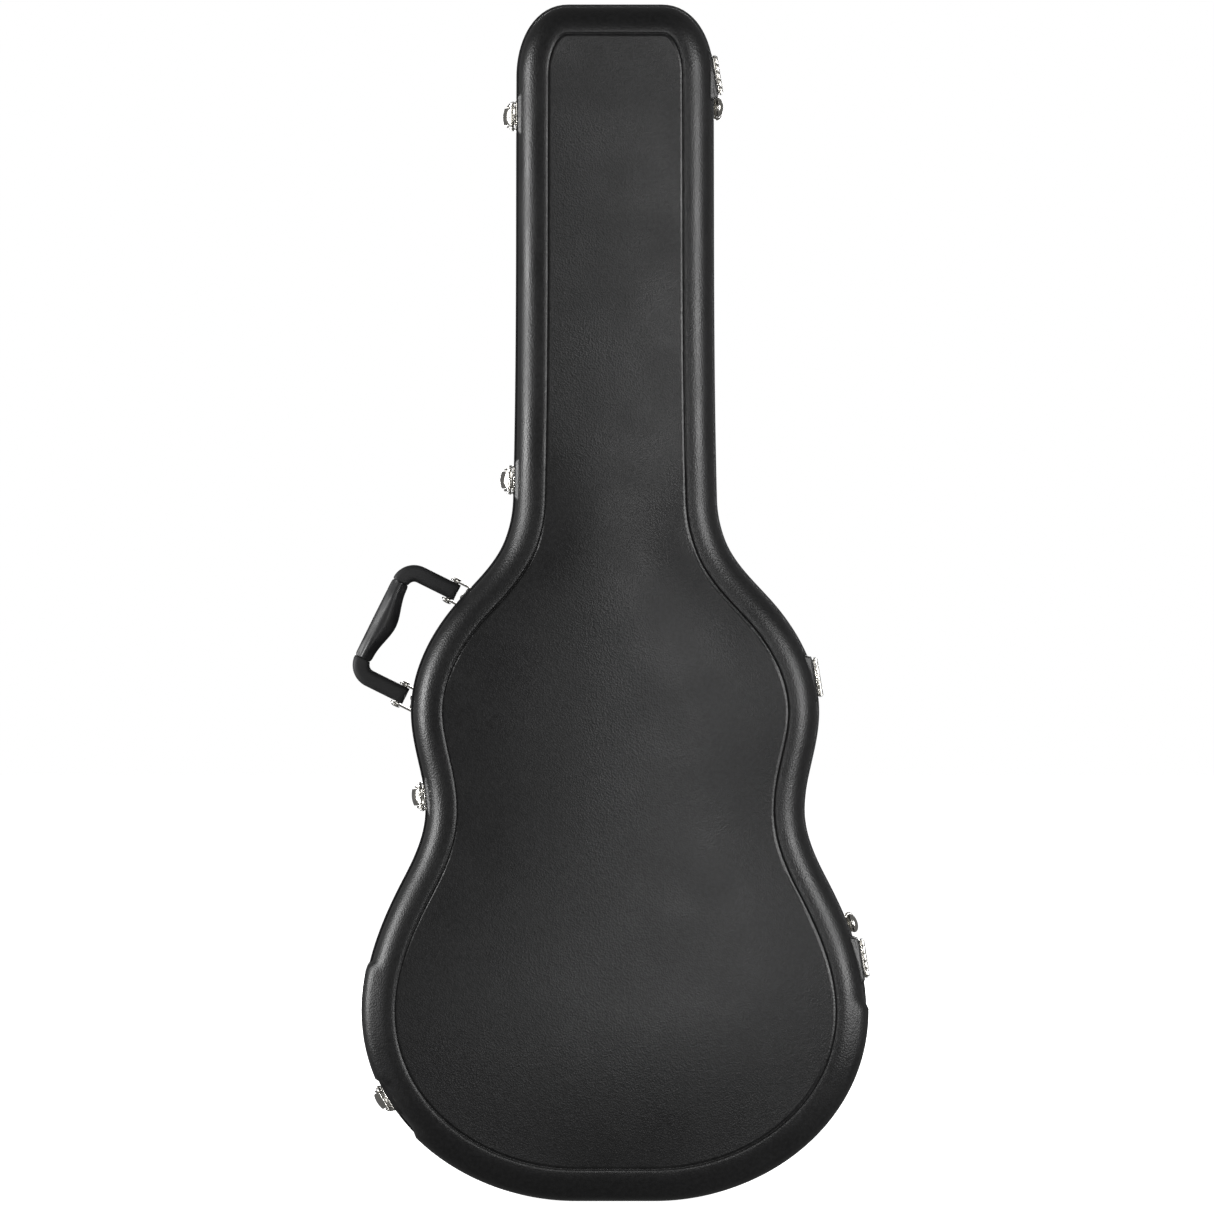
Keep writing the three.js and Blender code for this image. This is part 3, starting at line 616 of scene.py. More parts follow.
def rim_metal():
    look = Finish("rim_metal", (0.012, 0.012, 0.013), 0.36, 0.3)
    brush = look.pattern("noise", 420, 5.0)
    look.rough_between(brush, 0.3, 0.44)
    look.bump(brush, 0.12, 0.0001)
    return look.material


# %% [markdown]
# The fittings are pressed steel with bright nickel. Plating is smooth, but it shows the faint orange peel
# of the steel under it, finger marks that dull it, and a warm tint. The plain steel of the pins is duller.

# %% Finishes: nickel and steel
def plated(name, colour, rough_low, rough_high):
    look = Finish(name, colour, rough_low, 1.0)
    marks = look.pattern("noise", 160, 5.0)
    look.rough_between(marks, rough_low, rough_high)
    look.bump(look.pattern("noise", 420), 0.18, 0.00012)
    darker = tuple(0.86 * c for c in colour)
    look.colour_between(look.ranged(marks, 0, 1), colour, darker)
    return look.material


# %% [markdown]
# The handle's arms are rubber with a fine leathery stipple. The grip is harder and smoother, so it takes
# a soft highlight where the arms stay dull.

# %% Finishes: handle rubber and grip
def stippled_rubber(name, colour, rough, grain, strength):
    look = Finish(name, colour, rough)
    stipple = look.pattern("cells", grain)
    wear = look.pattern("noise", 90, 4.0)
    look.bump(stipple, strength, 0.0003)
    look.rough_between(wear, rough - 0.06, rough + 0.06)
    lighter = tuple(1.5 * c for c in colour)
    look.colour_between(look.ranged(wear, 0, 1), colour, lighter)
    return look.material


# %% [markdown]
# Plush is a cut pile on knitted cloth. Its fibres catch light from the side, which the sheen gives, and
# where the pile is brushed one way or the other it looks lighter or darker in soft patches. The ribbon
# that lifts the pocket's flap is woven, so two wave patterns cross in it.

# %% Finishes: plush and ribbon
def plush_pile():
    look = Finish("black_plush", (0.02, 0.02, 0.024), 0.95)
    look.shader.inputs["Sheen Weight"].default_value = 0.35
    look.shader.inputs["Sheen Roughness"].default_value = 0.4
    look.shader.inputs["Specular IOR Level"].default_value = 0.2
    brushed = look.pattern("noise", 26, 3.0, Distortion=0.8)
    pile = look.pattern("noise", 1500, 4.0)
    look.colour_between(look.ranged(brushed, 0, 1), (0.026, 0.026, 0.03), (0.042, 0.042, 0.048))
    soft = look.bump(brushed, 0.25, 0.002)
    look.bump(pile, 0.7, 0.0006, soft)
    return look.material


def woven_ribbon():
    look = Finish("woven_ribbon", (0.016, 0.016, 0.018), 0.7)
    look.shader.inputs["Sheen Weight"].default_value = 0.2
    weave = look.nodes.new("ShaderNodeMath")
    weave.operation = "MULTIPLY"
    for strand, direction in enumerate(("X", "Z")):
        wave = look.nodes.new("ShaderNodeTexWave")
        wave.bands_direction = direction
        wave.inputs["Scale"].default_value = 420
        look.links.new(look.place, wave.inputs["Vector"])
        look.links.new(wave.outputs["Fac"], weave.inputs[strand])
    look.bump(weave.outputs[0], 0.6, 0.0004)
    look.colour_between(weave.outputs[0], (0.01, 0.01, 0.011), (0.03, 0.03, 0.033))
    return look.material


ABS = pebbled_plastic()
RIM = rim_metal()
NICKEL = plated("bright_nickel", (0.78, 0.76, 0.71), 0.1, 0.24)
STEEL = plated("plain_steel", (0.5, 0.5, 0.5), 0.25, 0.4)
RUBBER = stippled_rubber("arm_rubber", (0.018, 0.018, 0.019), 0.62, 1100, 0.45)
GRIP = stippled_rubber("grip_smooth", (0.022, 0.022, 0.023), 0.4, 900, 0.1)
PLUSH = plush_pile()
RIBBON = woven_ribbon()
finish(lid_shell, "lid", ABS, ["lid_shell"])
finish(base_shell, "base", ABS, ["base_shell"])

# %% [markdown]
# ## Rim
# A metal extrusion is bent round the mouth of each shell and hides its edge. The two meet face to face,
# and a tongue on the lid's drops into a groove in the base's, which keeps the case straight and dust out.
# It is an outline plate with its middle taken out, pulled up, and bevelled at its sharp edges. It stops
# on both sides of each hinge.

# %% Rim extrusions
RIM_TALL = 0.008
RIM_PROUD = 0.0022
RIM_GAP = 0.0002
RIM_TONGUE = 0.0009
RIM_SHOULDER = 0.0018
RIM_BROKEN = 0.0009
HINGE_ROOM = (0.016, 0.03, 0.0374)


def make_rim(name, facing):
    mating = PARTING + facing * RIM_GAP
    thick = RIM_TALL - RIM_GAP
    rim = outline_plate(name, PARTING + facing * RIM_TALL, -facing, grow=RIM_PROUD)
    edit()
    insets([(RIM_PROUD + WALL, 0)])
    bpy.ops.mesh.delete(type="ONLY_FACE")
    bpy.ops.mesh.select_all(action="SELECT")
    rise([thick], -facing)
    pick("FACE", lambda f: abs(middle(f).y - mating) < 1e-6)
    bpy.ops.mesh.inset(thickness=RIM_SHOULDER, use_even_offset=True)
    tongue = RIM_TONGUE if facing < 0 else -1.6 * RIM_TONGUE
    rise([tongue], -facing)
    done()
    outwards(rim)
    apply(rim, "BEVEL", width=RIM_BROKEN, segments=3, limit_method="ANGLE", angle_limit=math.radians(50))
    for z in HINGE_ZS.values():
        room = start("room", bpy.ops.mesh.primitive_cube_add, size=1)
        room.data.transform(Matrix.Diagonal((*HINGE_ROOM, 1)))
        on_line = Matrix.Translation((HINGE_ROOM[0] / 2 - HINGE_SEAT, PARTING, 0))
        room.data.transform(hinge_frame(z) @ on_line)
        cut(rim, room)
    return rim


finish(make_rim("lid_rim", -1), "lid", RIM, ["lid_valance"])
finish(make_rim("base_rim", 1), "base", RIM, ["base_valance"])

# %% [markdown]
# ## Lining
# The lining is moulded foam with plush glued over it. It rolls over in a soft lip at the mouth, drops to
# a floor, and holds the guitar all round. The lip, wall and floor are one run of insets from an outline
# plate, the floor is filled with rows, and slow noise gives the small hollows that hand-glued plush has.
# A cloth simulation isn't needed for these: the plush is stuck down all over and can't sag.

# %% Lining: lip, wall and floor
LINING_GAP = 0.0036
LIP_GAP = 0.0004
LIP = [(3.6, 0), (4.2, 2.2), (6, 4.2), (8.6, 5.3), (12, 5.7), (16, 5.5), (19.4, 4.6), (22.4, 2.9),
       (24.8, 0.3), (26, -3), (26.3, -7)]
TOE = [(26.3, 0), (26.5, -3.4), (27.1, -6.6), (28, -9.2), (28.8, -10.6), (29.4, -11)]
BACK_INSET = 0.0225
LINING_ROW = 0.007


def soft_hollows(piece, deep, scale, keep):
    """Moves the points of a soft piece a little along their normals, by slow noise."""
    co, normal = points_of(piece), normals_of(piece)
    places = [Vector(p) for p in co]
    amount = np.array([noise.noise(p * scale) + 0.5 * noise.noise(p * 2.3 * scale) for p in places])
    amount = np.minimum(amount, 0.4) * deep * keep(co)
    move_points(piece, co + normal * amount[:, None])


def make_lining(name, facing, shoulder, floor_y, back):
    """A padded tray: shoulder is where its outer wall ends, and back is how deep its underside lies."""
    base_y = PARTING + facing * shoulder
    tray = outline_plate(name, base_y, -facing, grow=-LINING_GAP)
    lip_low = PARTING + facing * (LIP_GAP + LIP[4][1] * MM)
    edit()
    rise([abs(base_y - lip_low) / 3] * 3, -facing)
    insets([(a * MM, u * MM) for a, u in steps_of(LIP)])
    wall_top = lip_low - facing * LIP[-1][1] * MM
    toe_top = floor_y + facing * TOE[-1][1] * MM
    rows = max(1, round(abs(toe_top - wall_top) / LINING_ROW))
    rise([-abs(toe_top - wall_top) / rows] * rows, -facing)
    insets([(a * MM, u * MM) for a, u in steps_of(TOE)])
    bpy.ops.mesh.delete(type="ONLY_FACE")
    fill_rows(floor_y)
    pick("FACE", lambda f: abs(middle(f).y - base_y) < 1e-5 and len(f.verts) > 4)
    bpy.ops.mesh.inset(thickness=BACK_INSET, depth=0, use_even_offset=True)
    bpy.ops.transform.translate(value=(0, facing * back, 0))
    done()
    outwards(tray)
    inside = lambda co: nearest(co[:, [0, 2]])[1] > 0.012
    above = lambda co: abs(co[:, 1] - base_y - facing * back) > 2e-3
    soft_hollows(tray, 0.0011, 17, lambda co: inside(co) & above(co))
    return tray


base_lining = make_lining("base_lining_plush", 1, 0.059, 0.055, 0.0228)
lid_lining = make_lining("lid_lining_plush", -1, 0.0110, -0.055, 0.0208)
for piece, body, node in ((base_lining, "base", "base_lining"), (lid_lining, "lid", "lid_lining")):
    finish(piece, body, PLUSH, [node], angle=75)

# %% [markdown]
# Under the neck the foam is built up in a bed, with a box in it for strings and picks and a well for the
# headstock. The bed is cut from the well's own outline, hollowed with two boxes, and then remeshed and
# relaxed, because that rounds every edge the way plush does when it is pulled over foam.

# %% Lining: neck bed
NECK_FROM = 0.590
NECK_FLOOR = 0.018
BED_UNDER = 0.0535
HEAD_FLOOR = 0.036
POCKET_FLOOR = 0.0515
POCKET_BOX = ((-0.027, 0.650), (0.027, 0.835))
HEAD_BOX = ((-0.051, 0.880), (0.051, 1.036))


def softened(piece, voxel, passes):
    apply(piece, "REMESH", mode="VOXEL", voxel_size=voxel)
    apply(piece, "SMOOTH", factor=0.6, iterations=passes)
    return piece


def box_between(name, low, high):
    piece = start(name, bpy.ops.mesh.primitive_cube_add, size=1)
    low, high = Vector(low), Vector(high)
    piece.data.transform(Matrix.Translation((low + high) / 2) @ Matrix.Diagonal((*(high - low), 1)))
    return piece


def make_neck_bed():
    bed = outline_plate("neck_bed_plush", BED_UNDER, -1, grow=-0.0312)
    edit()
    bpy.ops.mesh.bisect(plane_co=(0, 0, NECK_FROM), plane_no=(0, 0, 1), clear_inner=True)
    bpy.ops.mesh.select_all(action="SELECT")
    rise([BED_UNDER - NECK_FLOOR - 0.0006], -1)
    done()
    outwards(bed)
    for ((x0, z0), (x1, z1)), box_floor in ((POCKET_BOX, POCKET_FLOOR), (HEAD_BOX, HEAD_FLOOR)):
        cut(bed, box_between("hole", (x0, -0.1, z0), (x1, box_floor, z1)))
    return softened(bed, 0.003, 5)


bed = finish(make_neck_bed(), "base", PLUSH, angle=80)

# %% [markdown]
# ## Flat parts with a drawn edge
# Latch levers, hooks, ears and plates are all pressed or cut from sheet: a drawn edge with a thickness.
# A filled circle gets its vertices set on the drawn points, and is then extruded in slices, so that the
# flat can still be domed. Arcs in a drawing are worked out, never listed.

# %% Helpers: drawn parts and turned parts
def arc(x, y, radius, begin, end, count):
    """Points on an arc, in degrees."""
    turns = np.radians(np.linspace(begin, end, count))
    return [(x + radius * math.cos(t), y + radius * math.sin(t)) for t in turns]


def bezier(a, b, c, d, count):
    """Points on a curve from a to d that heads for b and comes from c."""
    t = np.linspace(0, 1, count)[:, None]
    a, b, c, d = (np.array(p, float) for p in (a, b, c, d))
    points = (1 - t) ** 3 * a + 3 * (1 - t) ** 2 * t * b + 3 * (1 - t) * t ** 2 * c + t ** 3 * d
    return [tuple(p) for p in points]


def drawn(name, points, low, high, slices=1):
    """A shape drawn on x and y in mm, from z = low to z = high in mm."""
    corners = [p for p, q in zip(points, points[1:] + points[:1]) if math.dist(p, q) > 1e-4]
    piece = start(name, bpy.ops.mesh.primitive_circle_add, vertices=len(corners), fill_type="NGON")
    move_points(piece, [(x * MM, y * MM, low * MM) for x, y in corners])
    if piece.data.polygons[0].normal.z < 0:
        piece.data.flip_normals()
    edit()
    for _ in range(slices):
        extrude(0, 0, (high - low) / slices * MM)
    done()
    return outwards(piece)


def rounded(x0, y0, x1, y1, r, count=5):
    """A rectangle with round corners."""
    corners = ((x1 - r, y0 + r, -90), (x1 - r, y1 - r, 0), (x0 + r, y1 - r, 90), (x0 + r, y0 + r, 180))
    return [p for x, y, turn in corners for p in arc(x, y, r, turn, turn + 90, count)]


def edged(piece, width, segments=2, angle=35):
    """Breaks the sharp edges, as tumbling does to pressed parts."""
    return apply(piece, "BEVEL", width=width * MM, segments=segments, limit_method="ANGLE",
                 angle_limit=math.radians(angle))


def turned(name, profile, steps=40):
    """Spins a profile of (radius, height) points in mm, which starts and ends on local z."""
    piece = start(name, bpy.ops.mesh.primitive_circle_add, vertices=len(profile), fill_type="NOTHING")
    move_points(piece, [(r * MM, 0, h * MM) for r, h in profile])
    edit("EDGE")
    pick("EDGE", lambda e: abs(middle(e).x) < 1e-7)
    bpy.ops.mesh.delete(type="EDGE")
    bpy.ops.mesh.select_all(action="SELECT")
    bpy.ops.mesh.spin(steps=steps, angle=2 * math.pi, center=(0, 0, 0), axis=(0, 0, 1))
    done()
    return outwards(piece)


def pin(name, radius, long):
    """A round pin along local z with broken ends."""
    r, h, c = radius, long / 2, 0.25
    return turned(name, [(0, -h), (r - c, -h), (r, -h + c), (r, h - c), (r - c, h), (0, h)], 24)


def rivet(name, radius, proud):
    """A domed rivet head on the plane z = 0, with its skirt sunk a little."""
    dome = [(radius * math.cos(t), proud * math.sin(t)) for t in np.radians([0, 22, 44, 66])]
    return turned(name, [(0, -0.5), (radius, -0.5)] + dome + [(0, proud)], 20)


def moved(piece, *matrices):
    for matrix in matrices:
        piece.data.transform(matrix)
    return piece


def shift(x, y, z):
    return Matrix.Translation((x * MM, y * MM, z * MM))


TO_X = Matrix.Rotation(math.pi / 2, 4, "Y")
ON_WALL = Matrix(((0, 0, 1, 0), (1, 0, 0, 0), (0, 1, 0, 0), (0, 0, 0, 1)))

# %% [markdown]
# ## Hinges
# Each hinge is two leaves with interleaved knuckles on one pin, riveted to the shells through the plastic.
# A leaf is a drawn plate, a knuckle is a turned sleeve, and a rolled strip joins them. The leaves are
# modelled once at the origin, lying on the hinge line, and copied to the three places.

# %% Hinges
HINGE_LONG = 34
KNUCKLES = 5
KNUCKLE_GAP = 0.15
BARREL = 2.4
BORE = 1.35
LEAF = 1.2
LEAF_LOW = -HINGE_SEAT / MM + 0.3
LEAF_REACH = {1: 18, -1: 14}


def knuckle(low, high, facing):
    """One sleeve and the strip that runs from it to the leaf."""
    sleeve = [(BORE, low), (BARREL, low), (BARREL, high), (BORE, high)]
    ring = start("sleeve", bpy.ops.mesh.primitive_circle_add, vertices=4, fill_type="NOTHING")
    move_points(ring, [(r * MM, 0, h * MM) for r, h in sleeve])
    edit("EDGE")
    bpy.ops.mesh.spin(steps=28, angle=2 * math.pi, center=(0, 0, 0), axis=(0, 0, 1))
    done()
    outwards(ring)
    edged(ring, 0.25, 2, 50)
    strip = drawn("strip", rounded(LEAF_LOW, 0.6, LEAF_LOW + LEAF, 4.2, 0.3, 3), low, high)
    moved(strip, Matrix.Diagonal((1, facing, 1, 1)))
    return [ring, outwards(strip)]


def make_leaf(facing):
    """The leaf on the side that y faces: a plate, every other knuckle, and three rivets."""
    step = HINGE_LONG / KNUCKLES
    reach = LEAF_REACH[facing]
    leaf_top = LEAF_LOW + LEAF
    outline = rounded(3.2, -HINGE_LONG / 2, reach, HINGE_LONG / 2, 2.6)
    plate = edged(drawn("leaf", outline, LEAF_LOW, leaf_top), 0.3)
    moved(plate, Matrix(((0, 0, 1, 0), (facing, 0, 0, 0), (0, 1, 0, 0), (0, 0, 0, 1))))
    pieces = [outwards(plate)]
    for k in range(0 if facing > 0 else 1, KNUCKLES, 2):
        low = -HINGE_LONG / 2 + k * step
        pieces += knuckle(low + KNUCKLE_GAP, low + step - KNUCKLE_GAP, facing)
    for along_line, out in ((-11, reach - 4), (0, 7.5), (11, reach - 4)):
        head = rivet("head", 2.2, 0.9)
        pieces.append(moved(head, TO_X, shift(leaf_top, facing * out, along_line)))
    return join("leaf", pieces)


def put_away(piece):
    """Takes a modelled original out of the scene once it has been copied."""
    bpy.data.objects.remove(piece)


leaves = {"base": make_leaf(1), "lid": make_leaf(-1)}
hinge_pin = pin("hinge_pin", 1.2, 36)
for place, z in HINGE_ZS.items():
    at = hinge_frame(z) @ Matrix.Translation((0, PARTING, 0))
    for body, leaf in leaves.items():
        name = f"hinge_{place}_{body}_leaf"
        finish(copy_to(leaf, name + "_pressed", at), body, NICKEL, [name])
    name = f"hinge_{place}_pin"
    finish(copy_to(hinge_pin, name + "_turned", at), "base", STEEL, [name])
for original in (*leaves.values(), hinge_pin):
    put_away(original)

# %% [markdown]
# ## Feet
# On its spine the case stands on four domed metal feet, all on the deeper shell. Each is turned: a flange
# on the shell, a neck, and a dome. The profile is spun once and copied to the four places.

# %% Feet
FOOT_LOW = 1.2
FLANGE = [(0, 0), (12, 0), (12.2, 0.5), (11.6, 0.9), (9.2, 1.3), (7.4, 1.9), (6.6, 2.6)]
dome = [(9 * math.cos(t), 5.2 + 4.9 * math.sin(t)) for t in np.radians(np.linspace(-38, 82, 13))]
foot_profile = [(r, FOOT_LOW + h) for r, h in FLANGE + dome + [(0, 10.1)]]
foot_knob = turned("foot", foot_profile, 48)
for place, z in FOOT_ZS.items():
    for side, y in FOOT_YS.items():
        name = f"foot_{place}_{side}"
        at = wall_frame(z, 1) @ Matrix.Translation((0, y, 0)) @ TO_X
        knob = copy_to(foot_knob, name + "_turned", at)
        finish(knob, "base", NICKEL, [name])
put_away(foot_knob)

# %% [markdown]
# ## Latches
# A draw latch has a plate with two ears on the base, a lever between the ears, a hook that hangs on the
# lever, and a strike on the lid whose lip the hook pulls. The lever is what the hand meets: it is pressed
# into a dome with a curled tip. It is drawn from the side, extruded in slices across, and the slices are
# then bulged and narrowed, as the press does.

# %% Latches: plate, lever, hook and strike
PIVOT = (5.5, -11)
TRUNNION = (8.7, -4.5)
PLATE_LOW = 1.2
PLATE_TOP = 2.6
LEVER_HALF = 7.6
HOOK_BAR_Y = -38.6


def latch_plate():
    """The base's plate, its two ears round the pivot, and two rivets."""
    plate = drawn("plate", rounded(-16.2, -14, 16.8, 14, 3.2), PLATE_LOW, PLATE_TOP)
    edged(plate, 0.35)
    moved(plate, ON_WALL)
    x, y = PIVOT
    root = PLATE_LOW + 0.4
    ear = [(root, y + 4.6), (root, y - 4.6)] + arc(x, y, 2.8, -80, 80, 11)
    pieces = [plate] + [edged(drawn("ear", ear, low, low + 1.5), 0.3) for low in (-12.4, 10.9)]
    for u, w in ((12.4, -10), (12.4, 10)):
        pieces.append(moved(rivet("head", 1.9, 0.8), TO_X, shift(PLATE_TOP, u, w)))
    return join("plate", pieces)


def latch_lever():
    """The lever: its back from heel to tip, its inside back to the heel, and its trunnion."""
    x, y = PIVOT
    back = bezier((x + 1, y - 2.4), (11, -12), (14.6, -6), (14.8, 1), 9)
    back += bezier((14.8, 1), (14.8, 7), (13.4, 13), (9.6, 19), 9)
    tip = [(9.0, 19.5), (8.4, 19.4)]
    inside = bezier((8.2, 18), (11.4, 12.4), (12.8, 7), (12.6, 2), 8)
    inside += bezier((12.6, 2), (12.2, -2.4), (9.6, -1.9), (8.4, -1.6), 6)
    heel = bezier((8.4, -1.6), (7.2, -2.4), (6.4, -6), (6.2, -8.7), 5) + arc(x, y, 2.4, 90, 270, 9)
    lever = drawn("lever", back + tip + inside + heel, -LEVER_HALF, LEVER_HALF, slices=10)
    co = points_of(lever)
    w = co[:, 2] / (LEVER_HALF * MM)
    far = soft_step((co[:, 1] / MM + 2) / 20)
    co[:, 0] -= 1.3 * MM * w ** 2 * soft_step((co[:, 0] / MM - 7) / 4)
    co[:, 2] *= 1 - 0.22 * far ** 2
    move_points(lever, co)
    edged(lever, 0.45, 2, 45)
    trunnion = moved(pin("trunnion", 1.1, 21), shift(*TRUNNION, 0))
    return join("lever", [lever, trunnion])


def latch_hook():
    """Two arms from the lever's trunnion to a round bar that grips under the strike's lip."""
    x, y = TRUNNION
    side = arc(x, y, 2.2, -40, 150, 12) + [(x - 1.6, y - 2.4), (5.2, -35)]
    side += arc(6.2, HOOK_BAR_Y, 1.5, 170, 360, 10)
    arms = [edged(drawn("arm", side, low, low + 2), 0.4) for low in (-10.2, 8.2)]
    bar = moved(pin("bar", 1.35, 20.2), shift(6.1, HOOK_BAR_Y, 0))
    return join("hook", arms + [bar])


def latch_strike():
    """The lid's plate with the lip that the hook pulls."""
    plate = drawn("strike", rounded(-42.5, -12.5, -33.9, 12.5, 2.4), PLATE_LOW, PLATE_TOP)
    edged(plate, 0.35)
    moved(plate, ON_WALL)
    lip = [(2.2, -36.4), (6.9, -36.4)] + arc(6.9, -35.5, 0.9, -90, 90, 6) + [(2.2, -34.6)]
    pieces = [plate, edged(drawn("lip", lip, -7, 7), 0.3)]
    for w in (-8.6, 8.6):
        pieces.append(moved(rivet("head", 1.9, 0.8), TO_X, shift(PLATE_TOP, -39.6, w)))
    return join("strike", pieces)


latch_parts = {"plate": latch_plate(), "lever": latch_lever(), "hook": latch_hook(), "strike": latch_strike()}
latch_parts["pin"] = moved(pin("pin", 1.2, 26.4), shift(*PIVOT, 0))
FIXED = {"plate": "base", "pin": "base", "strike": "lid"}
for number, z in enumerate(LATCH_ZS, 1):
    for part, original in latch_parts.items():
        node = f"latch_{number}_{part}"
        slot, material = ("steel", STEEL) if part == "pin" else ("nickel", NICKEL)
        copied = copy_to(original, node + "_pressed", wall_frame(z, -1))
        finish(copied, FIXED.get(part, node), material, [node])
for original in latch_parts.values():
    put_away(original)

# %% [markdown]
# ## Handle
# A steel strap runs through two rubber arms and a harder grip, and turns on two pins in riveted brackets.
# The handle is modelled in its own frame: x points away from the case and z runs along the pins' line.
# An arm is a rounded section pulled straight and then spun round the corner. Its end at the pin is round.
# The grip is a block with many rows whose points are moved: swollen for the palm, and tight at its ends,
# so that the joints with the arms read as lines.

# %% Handle: frame, arms and strap
swing = next(j for j in frame["joints"] if j["name"] == "handle_swing")
HANDLE_WAY = Vector(swing["axis"]).normalized()
HANDLE_OUT = Vector((0, 1, 0)).cross(HANDLE_WAY)
HANDLE = Matrix.Translation(Vector(swing["pos_m"])) @ Matrix((
    (HANDLE_OUT.x, 0, HANDLE_WAY.x, 0), (0, 1, 0, 0), (HANDLE_OUT.z, 0, HANDLE_WAY.z, 0), (0, 0, 0, 1)))
ARM_AT = 52
ARM_THICK = 15.2
ARM_WIDE = 16
ARM_ROWS = 12
CORNER = 13.5
GRIP_HALF = 38.5
CORNER_X = ARM_AT - GRIP_HALF + 18.2
JOINT_TIGHT = 0.05


def pulled_arm(section, from_x):
    """A section drawn on z and y, pulled along x and spun round the corner towards the grip."""
    arm = start("arm", bpy.ops.mesh.primitive_circle_add, vertices=len(section), fill_type="NGON")
    move_points(arm, [(from_x * MM, y * MM, (ARM_AT + z) * MM) for z, y in section])
    edit()
    for _ in range(ARM_ROWS):
        extrude((CORNER_X - from_x) / ARM_ROWS * MM, 0, 0)
    turn_about = (CORNER_X * MM, 0, GRIP_HALF * MM)
    bpy.ops.mesh.spin(steps=16, angle=-math.pi / 2, center=turn_about, axis=(0, 1, 0))
    done()
    return outwards(arm)


def make_arm():
    """One arm with a round end at its pin, drawn in a little where the grip begins."""
    t, w = ARM_THICK / 2, ARM_WIDE / 2
    arm = pulled_arm(rounded(-t, -w, t, w, 5.2, 7), -5)
    co = points_of(arm) / MM
    far = np.hypot(co[:, 0], co[:, 1])
    tight = np.where((co[:, 0] < 0) & (far > w), w / np.maximum(far, 1e-6), 1)
    co[:, 0] *= tight
    co[:, 1] *= tight
    joint = soft_step(1 - abs(co[:, 2] - GRIP_HALF) / 1.6)
    centre = CORNER_X + CORNER
    near = (co[:, 0] > centre - 12) & (co[:, 2] < GRIP_HALF + 2)
    draw_in = np.where(near, 1 - JOINT_TIGHT * joint, 1)
    co[:, 0] = centre + (co[:, 0] - centre) * draw_in
    co[:, 1] *= draw_in
    move_points(arm, co * MM)
    edged(arm, 0.5, 2, 50)
    hole = moved(pin("hole", 2.8, 60), shift(0, 0, ARM_AT))
    return cut(arm, hole)


def make_grip():
    """A block with many rows, moved into a grip: swollen for the palm, with its corners taken round."""
    half, wide = GRIP_HALF + 0.5, 12
    near_x, far_x = 36.6, 53.3
    inner_x, outer_x = 37, 53
    corners = (near_x, -wide, -half), (far_x, wide, half)
    grip = box_between("handle_grip_moulded", *(Vector(corner) * MM for corner in corners))
    edit()
    rows = (((0, 0, 1), -half, half, 25), ((0, 1, 0), -wide, wide, 7), ((1, 0, 0), near_x, far_x, 3))
    for axis, low, high, cuts in rows:
        for k in range(1, cuts + 1):
            at = low + (high - low) * k / (cuts + 1)
            bpy.ops.mesh.select_all(action="SELECT")
            bpy.ops.mesh.bisect(plane_co=[a * at * MM for a in axis], plane_no=axis)
    done()
    co = points_of(grip) / MM
    along_grip = np.clip(abs(co[:, 2]) / half, 0, 1)
    swell = 6.2 * (1 - soft_step(along_grip / 0.92)) ** 1.2
    inner = (outer_x - co[:, 0]) / (outer_x - inner_x)
    co[:, 0] -= swell * inner
    side = co[:, 1] / wide
    co[:, 1] *= 1 - 0.27 * soft_step((along_grip - 0.55) / 0.45) - 0.05 * (1 - inner)
    middle_x = (outer_x + inner_x - swell) / 2
    depth = (co[:, 0] - middle_x) / (8 + swell / 2)
    corner = np.maximum(0, abs(side) + abs(depth) - 1)
    co[:, 0] -= np.sign(depth) * corner ** 1.6 * 4.6
    co[:, 1] -= np.sign(side) * corner ** 1.6 * 4.2
    move_points(grip, co * MM)
    apply(grip, "SMOOTH", factor=0.5, iterations=3)
    apply(grip, "SUBSURF", levels=1, render_levels=1)
    return grip


FLIP = Matrix.Diagonal((1, 1, -1, 1))
arm = make_arm()
for name, turn in (("handle_arm_lower", Matrix.Identity(4)), ("handle_arm_upper", FLIP)):
    rubber = outwards(copy_to(arm, name + "_rubber", turn))
    finish(moved(rubber, HANDLE), "handle", RUBBER, [name], angle=50)
put_away(arm)
finish(moved(make_grip(), HANDLE), "handle", GRIP, ["handle_grip"], angle=60)
strap = frame["nodes"]["handle_strap"]
strap.data.materials.clear()
strap.data.materials.append(STEEL)

# %% [markdown]
# Each bracket is a plate riveted to the shell with two ears, and a headed pin goes through the ears and
# the arm. The ears point along the handle's frame and the plate lies on the wall, which is turned a few
# degrees against it. So the ears are drawn too long and bisected where they meet the plate.

# %% Handle: brackets and pins
BRACKET_LOW = 1.2
BRACKET_TOP = 3.2


def make_bracket(name, end, z, long):
    """The bracket at one end of the handle: a plate on the wall, two ears along the handle, two rivets."""
    wall = wall_frame(z, -1)
    plate = drawn("plate", rounded(-11, -long / 2, 11, long / 2, 3), BRACKET_LOW, BRACKET_TOP)
    edged(plate, 0.4)
    moved(plate, ON_WALL, wall)
    pieces = [outwards(plate)]
    ear = [(-30, 9), (-30, -9), (-8, -8)] + arc(0, 0, 5.6, -105, 105, 17) + [(-8, 8)]
    for side in (-1, 1):
        at = end * ARM_AT + side * (ARM_THICK / 2 + 1.7)
        tab = moved(edged(drawn("ear", ear, at - 1, at + 1), 0.35), HANDLE)
        only(tab)
        edit()
        in_plate = wall @ Vector((0.002, 0, 0))
        bpy.ops.mesh.bisect(plane_co=in_plate, plane_no=wall.col[0].xyz, clear_inner=True, use_fill=True)
        done()
        pieces.append(outwards(tab))
    for w in (-1, 1):
        head = rivet("head", 2.2, 0.9)
        pieces.append(moved(head, TO_X, shift(BRACKET_TOP, 0, w * (long / 2 - 4)), wall))
    return join(name, pieces)


